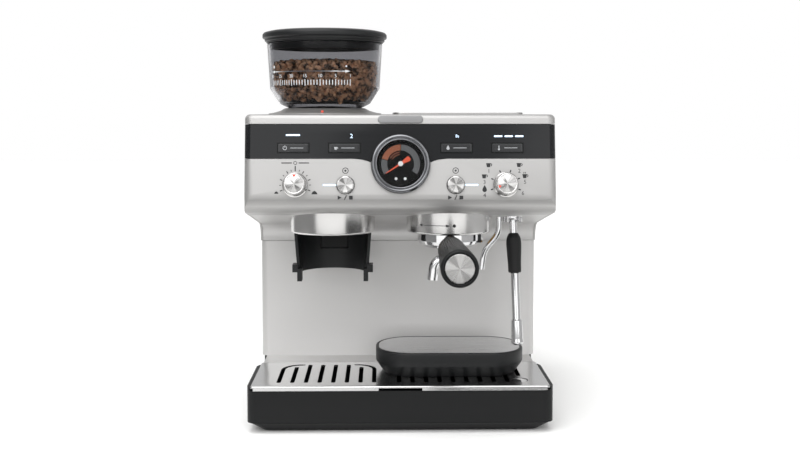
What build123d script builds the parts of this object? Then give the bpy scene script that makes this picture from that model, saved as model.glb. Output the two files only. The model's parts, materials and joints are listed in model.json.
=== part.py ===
"""Espresso machine with a built-in bean grinder, written as one STEP file for each separate piece.

Millimetres, +Z up, front towards -Y. The origin is on the worktop, midway between the tip of the
portafilter handle and the back of the case.
"""
from build123d import *
from math import atan2, cos, degrees, hypot, radians, sin, sqrt, tan
import os

# ---- casing --------------------------------------------------------------------------------------
HALF_WIDTH = 155.0          # half the width of the head, tower and drip tray
FRONT = -100.0              # y of the head's front where it starts to curl under
BACK = 200.0                # y of the back of the case
TOP = 321.0                 # z of the flat top
LEAN = 12.0                 # how far the head's front leans back up to the top
CURL_Z = 242.0              # height where the front starts to curl under
CURL_R = 20.0               # radius of that curl
UNDER_SLOPE = 10.9          # fall of the head's underside towards the tower, degrees
COVE_R = 22.0               # cove between the underside and the splash wall
COVE_Z = 179.0              # height where the cove meets the splash wall
WALL_Y = 48.0               # y of the splash wall
SKIN = 2.5                  # thickness of the casing panels
CORNER_R = 9.0              # vertical corners of the case
SEAM = 0.4                  # gap between neighbouring panels
LIP_Z = 311.3               # seam between the top cover and the control band
BAND_Z = 277.5              # seam between the control band and the front panel
WRAP_Y = -62.0              # how far back the band and front panel wrap round the sides
REAR_SEAM_Y = 185.0         # seam between the side panels and the rear panel
LEDGE_Z = 47.5              # top of the ledge behind the drip plate
LEDGE_Y = 12.0              # front of that ledge
LEDGE_HALF = 149.0          # half width of the ledge
PAN_Z = 1.5                 # underside of the base pan
TRAY_Z = 11.0               # underside of the drip tray
TRAY_FRONT = -93.0          # front of the drip tray
PLATE_Z = 48.5              # top of the drip plate

# ---- controls, at heights on the leaning front ---------------------------------------------------
GAUGE_Z = 272.0
GAUGE_R = 29.6              # outside of the gauge's bezel
DIAL_R = 23.3               # visible dial
KNOB_X = 104.0
KNOB_Z = 251.5
KNOB_R = 10.8
KNOB_H = 15.0
ROUND_BUTTON_X = 54.5
ROUND_BUTTON_R = 8.75
BAND_BUTTON_X = (-106.0, -55.5, 55.5, 106.0)
BAND_BUTTON_Z = 287.8
BAND_BUTTON_SIZE = (30.5, 8.8)
BUTTON_GAP = 0.4            # clearance round every button
SPINDLE_GAP = 0.05          # running clearance of a spindle in its hole
BOARD_DEPTH = 16.0          # distance of the control board behind the front

# ---- grinder -------------------------------------------------------------------------------------
HOPPER_X = -81.0
HOPPER_Y = 30.0
HOPPER_R = 63.0             # hopper at its rim
HOPPER_RIM_Z = 398.0
LID_R = 68.0
LID_Z = 414.0
NECK_R = 40.0               # hopper's neck, which turns in the collar
OUTLET_X = -70.0
HEAD_Y = -35.0              # y of the grinder outlet and the group head
RING_R = 44.0               # grinder outlet ring and group shroud
RING_Z = 198.5              # lower edge of both rings

# ---- brewing and steam ---------------------------------------------------------------------------
GROUP_X = 51.5
FILTER_R = 32.5             # outside of the portafilter body
HOT_TUBE_X = 104.5
HANDLE_END_Y = -199.6
HANDLE_END_Z = 182.5
HANDLE_START = (-70.0, 184.4)
WAND = (119.0, -35.0, 217.0)    # centre of the steam wand's ball
WAND_LEAN_FRONT = 9.0
WAND_LEAN_SIDE = 1.3

# ---- drip area -----------------------------------------------------------------------------------
SLOT_PITCH = 13.9
SLOT_W = 4.5
SLOT_END_X = 124.0          # outermost slots
SLOT_FRONT = -78.0
SLOT_BACK = -2.0
FLOAT_AT = (123.0, -70.0)
PLATFORM_AT = (53.0, -22.0)
PLATFORM_SIZE = (156.0, 86.0)
PLATFORM_TOP = 75.0

# ---- water tank ----------------------------------------------------------------------------------
TANK_HALF = 115.0
TANK_FRONT = 128.0
TANK_BACK = 198.0
TANK_TOP = 308.0
BAY_GAP = 2.0


# ---- building helpers ----------------------------------------------------------------------------
def slab(x0, x1, y0, y1, z0, z1):
    """Box between two corners."""
    centre = Pos((x0 + x1) / 2, (y0 + y1) / 2, (z0 + z1) / 2)
    return centre * Box(x1 - x0, y1 - y0, z1 - z0)


def rounded_slab(x0, x1, y0, y1, z0, z1, r):
    """Box with rounded vertical corners."""
    outline = Pos((x0 + x1) / 2, (y0 + y1) / 2, z0) * RectangleRounded(x1 - x0, y1 - y0, r)
    return extrude(outline, z1 - z0)


def flared_slab(low, high, z0, z1, r0, r1):
    """Solid between a rounded rectangle at z0 and another at z1, each (x0, x1, y0, y1)."""
    faces = []
    for (x0, x1, y0, y1), z, r in ((low, z0, r0), (high, z1, r1)):
        faces.append(Pos((x0 + x1) / 2, (y0 + y1) / 2, z) * RectangleRounded(x1 - x0, y1 - y0, r))
    return loft(faces)


def rod(x, y, z0, z1, r):
    """Upright cylinder."""
    return Pos(x, y, (z0 + z1) / 2) * Cylinder(r, z1 - z0)


def pipe(x, y, z0, z1, r_out, r_in):
    """Upright tube."""
    return rod(x, y, z0, z1, r_out) - rod(x, y, z0 - 1, z1 + 1, r_in)


def lathe(x, y, outline):
    """Outline of (radius, height) points turned about an upright axis."""
    profile = Plane.XZ * make_face(Polyline(*outline, close=True))
    return Pos(x, y, 0) * revolve(profile, Axis.Z, 360)


def prism_x(outline, x0, x1):
    """Face in the YZ plane, swept from x0 to x1."""
    return extrude(Plane.YZ.offset(x0) * outline, x1 - x0)


def prism_y(points, y0, y1):
    """Outline of (x, z) points, swept from y0 to y1."""
    flat = Plane(origin=(0, y0, 0), x_dir=(1, 0, 0), z_dir=(0, -1, 0))
    return extrude(flat * make_face(Polyline(*points, close=True)), -(y1 - y0))


def front_y(z):
    """y of the leaning front at height z."""
    return FRONT + LEAN * max(0.0, z - CURL_Z) / (TOP - CURL_Z)


def on_front(x, z):
    """Place on the leaning front: local x to the right, y up the front and z outwards."""
    rise = hypot(LEAN, TOP - CURL_Z)
    outward = (0, -(TOP - CURL_Z) / rise, LEAN / rise)
    return Location(Plane(origin=(x, front_y(z), z), x_dir=(1, 0, 0), z_dir=outward))


def disc(z0, z1, r):
    """Cylinder in front-panel coordinates."""
    return Pos(0, 0, (z0 + z1) / 2) * Cylinder(r, z1 - z0)


def plug(w, h, z0, z1, r):
    """Rounded block in front-panel coordinates."""
    return extrude(Pos(0, 0, z0) * RectangleRounded(w, h, r), z1 - z0)


# ---- casing --------------------------------------------------------------------------------------
def head_mass(t):
    """Head of the case, with every surface t further in."""
    phi = radians(UNDER_SLOPE)
    low = (-HALF_WIDTH + t, HALF_WIDTH - t, FRONT + t, BACK - t)
    high = (-HALF_WIDTH + t, HALF_WIDTH - t, front_y(TOP) + t, BACK - t)
    upper = flared_slab(low, high, CURL_Z, TOP - t, CORNER_R - t, CORNER_R - t)
    if t == 0:
        upper = fillet(upper.faces().sort_by(Axis.Z)[-1].edges(), 5.0)
    curl = (FRONT + CURL_R, CURL_Z)
    cove = (WALL_Y - COVE_R, COVE_Z)
    r_curl = CURL_R - t
    r_cove = COVE_R + t
    a_mid = radians(225 - UNDER_SLOPE / 2)
    a_out = radians(45 - UNDER_SLOPE / 2)
    start = (FRONT + t, CURL_Z)
    curl_mid = (curl[0] + r_curl * cos(a_mid), curl[1] + r_curl * sin(a_mid))
    curl_end = (curl[0] - r_curl * sin(phi), curl[1] - r_curl * cos(phi))
    cove_start = (cove[0] + r_cove * sin(phi), cove[1] + r_cove * cos(phi))
    cove_mid = (cove[0] + r_cove * cos(a_out), cove[1] + r_cove * sin(a_out))
    cove_end = (WALL_Y + t, COVE_Z)
    edges = [ThreePointArc(start, curl_mid, curl_end), Line(curl_end, cove_start)]
    edges += [ThreePointArc(cove_start, cove_mid, cove_end)]
    edges += [Polyline(cove_end, (BACK - t, COVE_Z), (BACK - t, CURL_Z), start)]
    lower = prism_x(make_face(edges), -HALF_WIDTH + t, HALF_WIDTH - t)
    foot = rounded_slab(*low, COVE_Z, CURL_Z, CORNER_R - t)
    return upper + (lower & foot)


def tower_mass(t):
    """Tower behind the splash wall."""
    box = (-HALF_WIDTH + t, HALF_WIDTH - t, WALL_Y + t, BACK - t)
    return rounded_slab(*box, LEDGE_Z, COVE_Z + t, CORNER_R - t)


def casing():
    """Whole outer skin of the case, before it is divided into panels."""
    inside = head_mass(SKIN) + tower_mass(SKIN) + slab(
        -HALF_WIDTH + SKIN, HALF_WIDTH - SKIN, WALL_Y + COVE_R, BACK - SKIN, LEDGE_Z - 1, TOP - SKIN - 9)
    return head_mass(0) + tower_mass(0) - inside


def band_outline():
    """Front outline of the control band: its lower edge dips to meet the gauge."""
    side = HALF_WIDTH + 5
    dip = [(-46, BAND_Z), (-38, BAND_Z - 0.9), (-33, BAND_Z - 2.2), (-28, BAND_Z - 4.5)]
    right = [(-x, z) for x, z in reversed(dip)]
    return [(-side, BAND_Z)] + dip + right + [(side, BAND_Z), (side, LIP_Z), (-side, LIP_Z)]


def front_cuts():
    """Everything that passes through the leaning front: gauge, spindles, buttons and lenses."""
    cuts = on_front(0, GAUGE_Z) * disc(-30, 12, DIAL_R + 2.5)
    for side in (-1, 1):
        cuts += on_front(side * KNOB_X, KNOB_Z) * disc(-30, 5, 3.0 + SPINDLE_GAP)
        cuts += on_front(side * ROUND_BUTTON_X, KNOB_Z) * disc(-30, 5, ROUND_BUTTON_R + BUTTON_GAP)
    for x in BAND_BUTTON_X:
        w, h = BAND_BUTTON_SIZE
        cuts += on_front(x, BAND_BUTTON_Z) * plug(w + 2 * BUTTON_GAP, h + 2 * BUTTON_GAP, -30, 5, 1.2)
    for x, z, w, h in lens_places():
        cuts += on_front(x, z) * plug(w, h, -30, 5, 0.45 * min(w, h))
    return cuts


def lens_places():
    """Light pipes of the front as (x, z, width, height)."""
    places = [(-106.5, 300.6, 14.5, 1.8), (-48.6, 299.4, 5.0, 6.4), (56.4, 299.4, 6.2, 5.4)]
    places += [(x, 299.4, 8.8, 1.8) for x in (97.0, 107.5, 118.0)]
    places += [(-70.4, 251.5, 13.0, 1.8), (70.4, 251.5, 13.0, 1.8)]
    return places


def top_cover(skin):
    """Lid of the case with its front lip, open for the hopper's neck and for the water tank."""
    cover = skin & slab(-200, 200, -150, 250, LIP_Z + SEAM / 2, TOP + 5)
    cover -= rod(HOPPER_X, HOPPER_Y, LIP_Z - 5, TOP + 5, NECK_R + 1.2)
    bay = TANK_HALF + BAY_GAP
    return cover - slab(-bay, bay, TANK_FRONT - BAY_GAP, BACK + 5, LIP_Z - 5, TOP + 5)


def control_band(skin):
    """Gloss black band across the upper front, wrapping a little way round the sides."""
    shape = prism_y(band_outline(), FRONT - 20, WRAP_Y)
    return (skin & shape) - slab(-200, 200, -150, 0, LIP_Z - SEAM / 2, TOP) - front_cuts()


def front_panel(skin):
    """Silver panel under the band, which curls under the head."""
    shape = slab(-200, 200, FRONT - 20, WRAP_Y, COVE_Z, BAND_Z + 5)
    outline = [(x, z - SEAM if z < LIP_Z else z) for x, z in band_outline()]
    return (skin & shape) - prism_y(outline, FRONT - 30, WRAP_Y + 5) - front_cuts() - ring_holes(0.4)


def side_panel(skin, side):
    """C-shaped side of the head and tower."""
    far = side * (HALF_WIDTH + 10)
    near = side * (HALF_WIDTH - SKIN)
    x0, x1 = min(far, near), max(far, near)
    head = slab(x0, x1, WRAP_Y + SEAM, REAR_SEAM_Y, COVE_Z, LIP_Z - SEAM / 2)
    tower = slab(x0, x1, WALL_Y + 14, REAR_SEAM_Y, LEDGE_Z - 5, COVE_Z + 1)
    return skin & (head + tower)


def ring_holes(extra):
    """Clearance for the two rings, the steam wand and the hot-water tube."""
    holes = rod(OUTLET_X, HEAD_Y, 190, 260, RING_R + extra) + rod(GROUP_X, HEAD_Y, 190, 260, RING_R + extra)
    holes += rod(WAND[0], WAND[1], 190, 260, 10.0 + extra)
    return holes + rod(HOT_TUBE_X, HEAD_Y, 190, 260, 3.0 + extra)


def under_panel(skin):
    """Sloping underside of the head with the cove down to the splash wall."""
    inner = HALF_WIDTH - SKIN - 0.1
    shape = slab(-inner, inner, WRAP_Y + SEAM, WALL_Y + SKIN + 0.5, COVE_Z, CURL_Z - 2)
    return (skin & shape) - ring_holes(0.4)


def back_wall(skin):
    """Splash wall behind the cups, bent forward at its foot into a ledge."""
    wall = skin & slab(-200, 200, WALL_Y - 5, WALL_Y + 13.6, LEDGE_Z, COVE_Z - SEAM)
    ledge = slab(-LEDGE_HALF, LEDGE_HALF, LEDGE_Y, WALL_Y + SKIN, LEDGE_Z - 2.5, LEDGE_Z)
    bend = slab(-LEDGE_HALF + 4, LEDGE_HALF - 4, WALL_Y, WALL_Y + SKIN, LEDGE_Z - 1, LEDGE_Z + 1)
    return wall + ledge + bend


def rear_panel(skin):
    """Back corners of the case and the lined bay that holds the water tank."""
    bay = TANK_HALF + BAY_GAP
    deep = TANK_FRONT - BAY_GAP
    corners = skin & slab(-200, 200, REAR_SEAM_Y + SEAM, BACK + 5, LEDGE_Z, LIP_Z - SEAM / 2)
    corners -= slab(-bay, bay, REAR_SEAM_Y - 5, BACK + 5, LEDGE_Z - 5, TOP)
    lining = slab(-bay - 2, bay + 2, deep - 2, BACK - 1, LEDGE_Z + 0.3, LIP_Z - SEAM)
    lining -= slab(-bay, bay, deep, BACK + 5, LEDGE_Z - 5, TOP)
    return corners + lining - rear_screws(1.85, 3.25)


def base_pan():
    """Bottom of the machine: a bevelled floor under the drip tray and a raised box under the tower."""
    rear = HALF_WIDTH - 2
    low = (-141.5, 141.5, TRAY_FRONT + 10, BACK - 10)
    high = (-rear, rear, TRAY_FRONT + 1, BACK - 1)
    pan = flared_slab(low, high, PAN_Z, TRAY_Z - 0.5, CORNER_R, CORNER_R)
    pan += slab(-LEDGE_HALF, LEDGE_HALF, LEDGE_Y + 0.3, WALL_Y + 30, TRAY_Z - 2, LEDGE_Z - 2.7)
    pan += rounded_slab(-rear, rear, WALL_Y + 3, BACK - 1, TRAY_Z - 2, LEDGE_Z - 0.5, CORNER_R)
    pan -= slab(-140, 140, LEDGE_Y + 3.5, BACK - 6, PAN_Z + 5, LEDGE_Z - 6)
    pan -= rod(0, (TANK_FRONT + TANK_BACK) / 2, 30, 60, 8.0)
    pan -= slab(85, 115, BACK - 20, BACK + 5, 15, 37)
    for x, y in foot_places():
        pan -= rod(x, y, 0, PAN_Z + 2.5, 6.0)
    return pan - screw_holes_below()


def foot_places():
    """Centres of the four feet."""
    return [(x, y) for x in (-122, 122) for y in (-62, 172)]


def rubber_feet():
    """Four moulded feet, each with a spigot pressed into the pan."""
    feet = []
    z = PAN_Z
    for x, y in foot_places():
        feet.append(lathe(x, y, [(0, 0), (9, 0), (10.5, 0.6), (10.5, z), (6, z), (6, z + 2.5), (0, z + 2.5)]))
    return Compound(children=feet)


def screw_holes_below():
    """Holes for the four long screws under the pan."""
    holes = rod(-100, 60, 0, 20, 1.8) + rod(100, 60, 0, 20, 1.8)
    return holes + rod(-100, 185, 0, 20, 1.8) + rod(100, 185, 0, 20, 1.8)


def case_screws():
    """Fixing screws: four under the pan and eight in the rear corners."""
    screws = []
    for x in (-100, 100):
        for y in (60, 185):
            screws.append(rod(x, y, PAN_Z - 1, 9.0, 1.8) + rod(x, y, PAN_Z - 1, PAN_Z, 3.2))
    return Compound(children=screws + rear_screws(1.8, 3.2))


def rear_screws(r, head_r):
    """Countersunk screws in the two rear corners, as solids or as cutters for their holes."""
    screws = []
    for x in (-134, 134):
        for z in (70, 145, 220, 295):
            shank = Pos(x, BACK - 6, z) * Rot(90, 0, 0) * Cylinder(r, 12)
            screws.append(shank + Pos(x, BACK - 0.6, z) * Rot(90, 0, 0) * Cylinder(head_r, 1.2))
    return screws


def chassis_frame():
    """Folded steel frame: an upright plate in the tower and a shelf through the head."""
    upright = slab(-140, 140, 108, 110, LEDGE_Z + 0.5, 300)
    shelf = slab(-140, 140, -55, 110, 242, 244)
    shelf -= rod(HOPPER_X, HOPPER_Y, 230, 250, 31.5) + rod(GROUP_X, HEAD_Y, 230, 250, 40.2)
    shelf -= rod(-73, -26, 230, 250, 18) + rod(WAND[0], WAND[1], 230, 250, 13)
    return upright + shelf


def cup_warmer_plate():
    """Thin raised plate on the right of the top, for warming cups."""
    plate = rounded_slab(-6, 126, -62, 112, TOP, TOP + 2, 8)
    return fillet(plate.faces().sort_by(Axis.Z)[-1].edges(), 0.8)


def power_inlet():
    """Mains inlet in the back of the pan."""
    block = slab(85.2, 114.8, BACK - 19, BACK - 0.5, 15.2, 36.8)
    block -= slab(89, 111, BACK - 14, BACK + 5, 19, 33)
    for x in (93, 100, 107):
        block += slab(x - 1, x + 1, BACK - 15, BACK - 4, 24, 28)
    return block


# ---- controls ------------------------------------------------------------------------------------
def gauge_case():
    """Body of the pressure gauge; its front face is the dial."""
    body = disc(-24, 1.5, DIAL_R + 2.2) - disc(-6, 3, 0.8 + SPINDLE_GAP)
    return on_front(0, GAUGE_Z) * body


def gauge_bezel():
    """Rounded chrome ring round the dial, with a groove near its inner edge."""
    r = GAUGE_R
    outline = [(DIAL_R, 1.6), (DIAL_R + 2.3, 1.6), (DIAL_R + 2.3, 0.1), (r - 1, 0.1), (r, 0.9), (r, 3.4)]
    outline += [(r - 0.9, 5.6), (r - 2.4, 6.6)]
    outline += [(r - 3.6, 6.3), (DIAL_R + 1.9, 5.0), (DIAL_R + 1.3, 5.9), (DIAL_R + 0.5, 5.9), (DIAL_R, 5.2)]
    ring = revolve(Plane.XZ * make_face(Polyline(*outline, close=True)), Axis.Z, 360)
    return on_front(0, GAUGE_Z) * ring


def gauge_glass():
    """Flat glass of the gauge."""
    return on_front(0, GAUGE_Z) * disc(4.0, 5.0, DIAL_R - 0.05)


def gauge_needle():
    """Needle on its spindle, pointing to the lower left at rest, with a wide tail."""
    pointer = Polyline((0, 0.9), (-17.5, 0.25), (-17.5, -0.25), (0, -0.9), close=True)
    tail = Polyline((0, -1.0), (9.5, -2.6), (10.8, -1.6), (10.8, 1.6), (9.5, 2.6), (0, 1.0), close=True)
    blade = extrude(Pos(0, 0, 2.1) * (make_face(pointer) + make_face(tail)), 0.7)
    blade += disc(1.8, 3.3, 2.3) + disc(-5, 2, 0.8)
    return on_front(0, GAUGE_Z) * Rot(0, 0, 33) * blade


def knob(x):
    """Turned metal knob: flared foot, straight grip, slightly rounded face, on a spindle."""
    h = KNOB_H
    outline = [(0, 1.0), (12.6, 1.0), (12.6, 2.2), (KNOB_R, 3.6), (KNOB_R - 0.4, h - 0.6)]
    outline += [(KNOB_R - 1.0, h), (0, h)]
    body = revolve(Plane.XZ * make_face(Polyline(*outline, close=True)), Axis.Z, 360)
    return on_front(x, KNOB_Z) * (body + disc(-13, 1.5, 3.0))


def round_button(x):
    """Round start button on a stem."""
    r = ROUND_BUTTON_R
    outline = [(0, -3.5), (r, -3.5), (r, 3.2), (r - 0.8, 4.0), (0, 4.0)]
    body = revolve(Plane.XZ * make_face(Polyline(*outline, close=True)), Axis.Z, 360)
    return on_front(x, KNOB_Z) * (body + disc(-11, -3, 2.0))


def band_button(x):
    """Flush rectangular button on a stem."""
    w, h = BAND_BUTTON_SIZE
    return on_front(x, BAND_BUTTON_Z) * (plug(w, h, -3.5, 0.35, 0.9) + disc(-12, -3, 1.5))


def indicator_lenses():
    """Light pipes of the front, one short block each."""
    lenses = []
    for x, z, w, h in lens_places():
        lenses.append(on_front(x, z) * plug(w - 0.1, h - 0.1, -6, 0.12, 0.44 * min(w, h)))
    return Compound(children=lenses)


def control_board():
    """Circuit board behind the front, with the two encoders that the knobs turn in."""
    d = BOARD_DEPTH
    mid = (KNOB_Z + BAND_BUTTON_Z) / 2
    board = on_front(0, mid) * plug(250, 56, -d, -d + 1.6, 2)
    board -= on_front(0, GAUGE_Z) * disc(-40, 10, DIAL_R + 4)
    for side in (-1, 1):
        place = on_front(side * KNOB_X, KNOB_Z)
        board += place * (disc(-d + 1, -6, 7.0) - disc(-14, 0, 3.0 + SPINDLE_GAP))
    return board


# ---- grinder -------------------------------------------------------------------------------------
def hopper_collar():
    """Flared metal collar on the top cover that the hopper's neck turns in."""
    bore = NECK_R + 0.4
    outline = [(bore, TOP - 8), (NECK_R + 1.1, TOP - 8), (NECK_R + 1.1, TOP), (62, TOP)]
    outline += [(62, TOP + 1.0), (57, TOP + 2.0), (47, TOP + 4.6), (42.5, TOP + 6.8), (bore, TOP + 6.8)]
    return lathe(HOPPER_X, HOPPER_Y, outline)


def hopper_bowl():
    """Clear bean hopper: neck, chamfered bottom and slightly flared wall."""
    wall = 2.4
    r = HOPPER_R
    outside = [(NECK_R, 316), (NECK_R, 328.2), (41.6, 328.4), (49.4, 332.5), (60, 348.5), (r, HOPPER_RIM_Z)]
    inside = [(r - wall, HOPPER_RIM_Z), (60 - wall, 349.5), (49 - wall, 334.6), (36, 330), (35, 316)]
    return lathe(HOPPER_X, HOPPER_Y, outside + inside)


def hopper_lid():
    """Domed lid with two steps under its rim and a plug that fits in the hopper."""
    outline = [(58, 390.5), (60, 390.5), (60, 398.4), (63.8, 398.4), (63.8, 400.2), (65.6, 400.2)]
    outline += [(65.6, 403.2), (LID_R - 0.6, 403.2), (LID_R, 404.2), (LID_R, 406.2), (LID_R - 1.2, 407.6)]
    outline += [(56, 410.2), (38, 412.6), (18, 413.8), (0, LID_Z), (0, 409.5), (57, 401), (58, 399)]
    return lathe(HOPPER_X, HOPPER_Y, outline)


def grinder_housing():
    """Cup round the burrs, with the chute that drops the grounds at the outlet."""
    top = Vector(-78, -7, 281)
    end = Vector(OUTLET_X, HEAD_Y, 216.5)
    axis = end - top
    chute_place = Location(Plane(origin=(top + end) * 0.5, z_dir=axis))
    body = rod(HOPPER_X, HOPPER_Y, 264, 312, 38) + chute_place * Cylinder(12, axis.length)
    body -= rod(HOPPER_X, HOPPER_Y, 276, 320, 30)
    body -= rod(HOPPER_X, HOPPER_Y, 260, 280, 5.0 + SPINDLE_GAP)
    bore = Location(Plane(origin=(top + end) * 0.5 + axis.normalized() * 4, z_dir=axis))
    body -= bore * Cylinder(9.5, axis.length + 10)
    return body


def upper_burr():
    """Ring burr whose height sets the grind, with a fluted hollow cone."""
    outline = [(24.5, 287), (29.6, 287), (29.6, 306), (12, 306), (12, 303), (24.5, 289)]
    return lathe(HOPPER_X, HOPPER_Y, outline)


def lower_burr():
    """Conical burr with milled flutes, on the shaft that drives it."""
    cone = lathe(HOPPER_X, HOPPER_Y, [(0, 280), (21.5, 280), (21.5, 288), (9.5, 301.5), (4, 304), (0, 304)])
    shaft = rod(HOPPER_X, HOPPER_Y, 247, 281, 5.0)
    for i in range(8):
        flute = Pos(15.5, 0, 295) * Rot(0, 47, 0) * Box(30, 2.0, 4.0)
        cone -= Pos(HOPPER_X, HOPPER_Y, 0) * Rot(0, 0, 45 * i) * flute
    return cone + shaft


def grinder_gearbox():
    """Closed reduction gearbox between the motor and the burr shaft."""
    case = rod(HOPPER_X, HOPPER_Y, 240, 263.8, 30) - rod(HOPPER_X, HOPPER_Y, 243, 260.5, 27)
    case -= rod(HOPPER_X, HOPPER_Y, 255, 270, 5.0 + SPINDLE_GAP)
    return case - rod(HOPPER_X, HOPPER_Y, 230, 250, 9.0)


def grinder_motor():
    """Closed grinder motor, with a boss on its end that centres it in the gearbox."""
    return rod(HOPPER_X, HOPPER_Y, 212, 239.8, 26) + rod(HOPPER_X, HOPPER_Y, 239, 243.5, 9)


def above_underside(gap):
    """Everything more than gap above the head's sloping underside, where the rings are trimmed."""
    top = Plane(origin=(0, HEAD_Y, underside_z(HEAD_Y) + gap), x_dir=(1, 0, 0),
                z_dir=(0, sin(radians(UNDER_SLOPE)), cos(radians(UNDER_SLOPE))))
    return Location(top) * Pos(0, 0, 50) * Box(400, 400, 100)


def underside_z(y):
    """Height of the head's sloping underside."""
    phi = radians(UNDER_SLOPE)
    return CURL_Z - CURL_R * cos(phi) - tan(phi) * (y - FRONT - CURL_R + CURL_R * sin(phi))


def outlet_ring():
    """Brushed steel ring round the grinder outlet, with its lower edge rounded."""
    r = RING_R
    outline = [(r - 3, RING_Z), (r - 1.2, RING_Z), (r - 0.3, RING_Z + 0.5), (r, RING_Z + 1.4), (r, 230)]
    return lathe(OUTLET_X, HEAD_Y, outline + [(r - 3, 230)]) - above_underside(6)


def portafilter_cradle():
    """Black half shell under the grinder outlet, open in front, with two rails for the portafilter."""
    wall = [(34.2, 155), (37.2, 155), (40.6, RING_Z + 1), (40.6, 211), (12.5, 211), (12.5, 208), (37.6, 208)]
    wall += [(37.6, RING_Z + 1)]
    shell = lathe(OUTLET_X, HEAD_Y, wall)
    shell -= slab(OUTLET_X - 60, OUTLET_X + 60, HEAD_Y - 80, HEAD_Y - 2, 100, RING_Z + 1.2)
    shell -= slab(OUTLET_X - 15, OUTLET_X + 15, HEAD_Y + 10, HEAD_Y + 60, 176, 198)
    for side in (-1, 1):
        shell += rail(side)
    return shell


def rail(side):
    """One hooked rail at the foot of the cradle."""
    ear = slab(36.2, 42.0, HEAD_Y - 9, HEAD_Y + 6, 156.5, 164.5)
    foot = slab(32.2, 37.0, HEAD_Y - 9, HEAD_Y + 4, 147, 160)
    hook = ear + foot
    if side < 0:
        hook = mirror(hook, Plane.YZ)
    return Pos(OUTLET_X, 0, 0) * hook


def grind_paddle():
    """Sprung plate in the back of the cradle that starts the grinder when it is pressed."""
    face = rounded_slab(OUTLET_X - 14.5, OUTLET_X + 14.5, HEAD_Y + 35.5, HEAD_Y + 38.5, 176.6, 197.4, 1.0)
    return face + slab(OUTLET_X - 5, OUTLET_X + 5, HEAD_Y + 38, HEAD_Y + 44, 184, 190)


# ---- brewing -------------------------------------------------------------------------------------
def group_shroud():
    """Chrome ring round the group head."""
    r = RING_R
    outline = [(r - 2.6, RING_Z), (r - 1.0, RING_Z), (r - 0.3, RING_Z + 0.5), (r, RING_Z + 1.3), (r, 230)]
    return lathe(GROUP_X, HEAD_Y, outline + [(r - 2.6, 230)]) - above_underside(6)


def group_head():
    """Cast group: a thick head, a skirt and a lip with two notches that the portafilter's lugs enter."""
    outline = [(0, 209.2), (34.5, 209.2), (37.0, 204.5), (37.0, 200.6), (33.6, 200.6), (33.6, 199.2)]
    outline += [(40.8, 199.2), (40.8, 226), (39.5, 228), (39.5, 248), (0, 248)]
    head = lathe(GROUP_X, HEAD_Y, outline)
    for turn in (-45, 135):
        notch = Rot(0, 0, turn) * Pos(35, 0, 200) * Box(7, 15, 4)
        head -= Pos(GROUP_X, HEAD_Y, 0) * notch
    return head - rod(GROUP_X, HEAD_Y, 200, 260, 3.0)


def group_gasket():
    """Rubber ring that the filter basket's lip presses on."""
    return pipe(GROUP_X, HEAD_Y, 205.4, 209.2, 33.6, 26.6)


def shower_screen():
    """Perforated screen under the group head."""
    screen = rod(GROUP_X, HEAD_Y, 203.0, 205.6, 24.5) + pipe(GROUP_X, HEAD_Y, 205.5, 209.2, 24.5, 22.0)
    for ring, n in ((7, 6), (13, 12), (19, 18)):
        for i in range(n):
            a = radians(360 * i / n)
            screen -= rod(GROUP_X + ring * cos(a), HEAD_Y + ring * sin(a), 200, 207, 0.8)
    return screen


def portafilter_body():
    """Chromed cup with two lugs and the stub that the handle screws on to."""
    r = FILTER_R
    outline = [(5, 177), (9, 177), (12, 180.0), (26, 183.2), (31, 186.6), (r, 190), (r, 204)]
    outline += [(30.0, 204), (30.0, 188.0), (25, 185.6), (5, 181.4)]
    cup = lathe(GROUP_X, HEAD_Y, outline)
    lugs = slab(-36.2, 36.2, -5.5, 5.5, 201.0, 204.0) - rod(0, 0, 190, 210, 31)
    cup += Pos(GROUP_X, HEAD_Y, 0) * lugs
    rib = slab(r - 1.5, r + 3.6, -3, 3, 188, 198.4)
    cup += Pos(GROUP_X, HEAD_Y, 0) * Rot(0, 0, -20) * rib
    stub = along_handle(10, 44, 6.0)
    return cup + (stub - rod(GROUP_X, HEAD_Y, 150, 230, 30))


def handle_frame():
    """Place at the near end of the handle with local z along it, towards its end cap."""
    y0, z0 = HANDLE_START
    reach = (0, HANDLE_END_Y - y0, HANDLE_END_Z - z0)
    return Location(Plane(origin=(GROUP_X, y0, z0), x_dir=(1, 0, 0), z_dir=reach))


def handle_length():
    """Length of the handle along its own axis."""
    y0, z0 = HANDLE_START
    return hypot(HANDLE_END_Y - y0, HANDLE_END_Z - z0)


def along_handle(before, after, r):
    """Cylinder on the handle's axis, from before its near end to after it."""
    return handle_frame() * Pos(0, 0, (after - before) / 2) * Cylinder(r, before + after)


def filter_basket():
    """Pressed steel basket hanging on its lip in the portafilter."""
    outline = [(0, 186.2), (24, 186.2), (28.6, 189.0), (29.4, 204.2), (33.0, 204.2), (33.0, 205.0)]
    outline += [(28.8, 205.0), (28.0, 189.4), (23.6, 186.9), (0, 186.9)]
    return lathe(GROUP_X, HEAD_Y, outline)


def portafilter_handle():
    """Tapered black handle, bored for its stub and for the end cap."""
    n = handle_length()
    outline = [(0, 0), (11.2, 0), (13.2, 3.0), (13.8, 12), (15.2, 55), (17.0, 100), (17.6, n - 7)]
    outline += [(17.6, n - 2.0), (16.6, n - 0.4), (15.4, n), (13.9, n), (13.9, n - 3), (0, n - 3)]
    grip = revolve(Plane.XZ * make_face(Polyline(*outline, close=True)), Axis.Z, 360)
    return handle_frame() * grip - along_handle(12, 44, 6.0)


def handle_cap():
    """Brushed disc in the end of the handle."""
    n = handle_length()
    outline = [(0, n - 2.9), (13.7, n - 2.9), (13.7, n - 0.9), (13.2, n - 0.5), (0, n - 0.5)]
    return handle_frame() * revolve(Plane.XZ * make_face(Polyline(*outline, close=True)), Axis.Z, 360)


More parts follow.
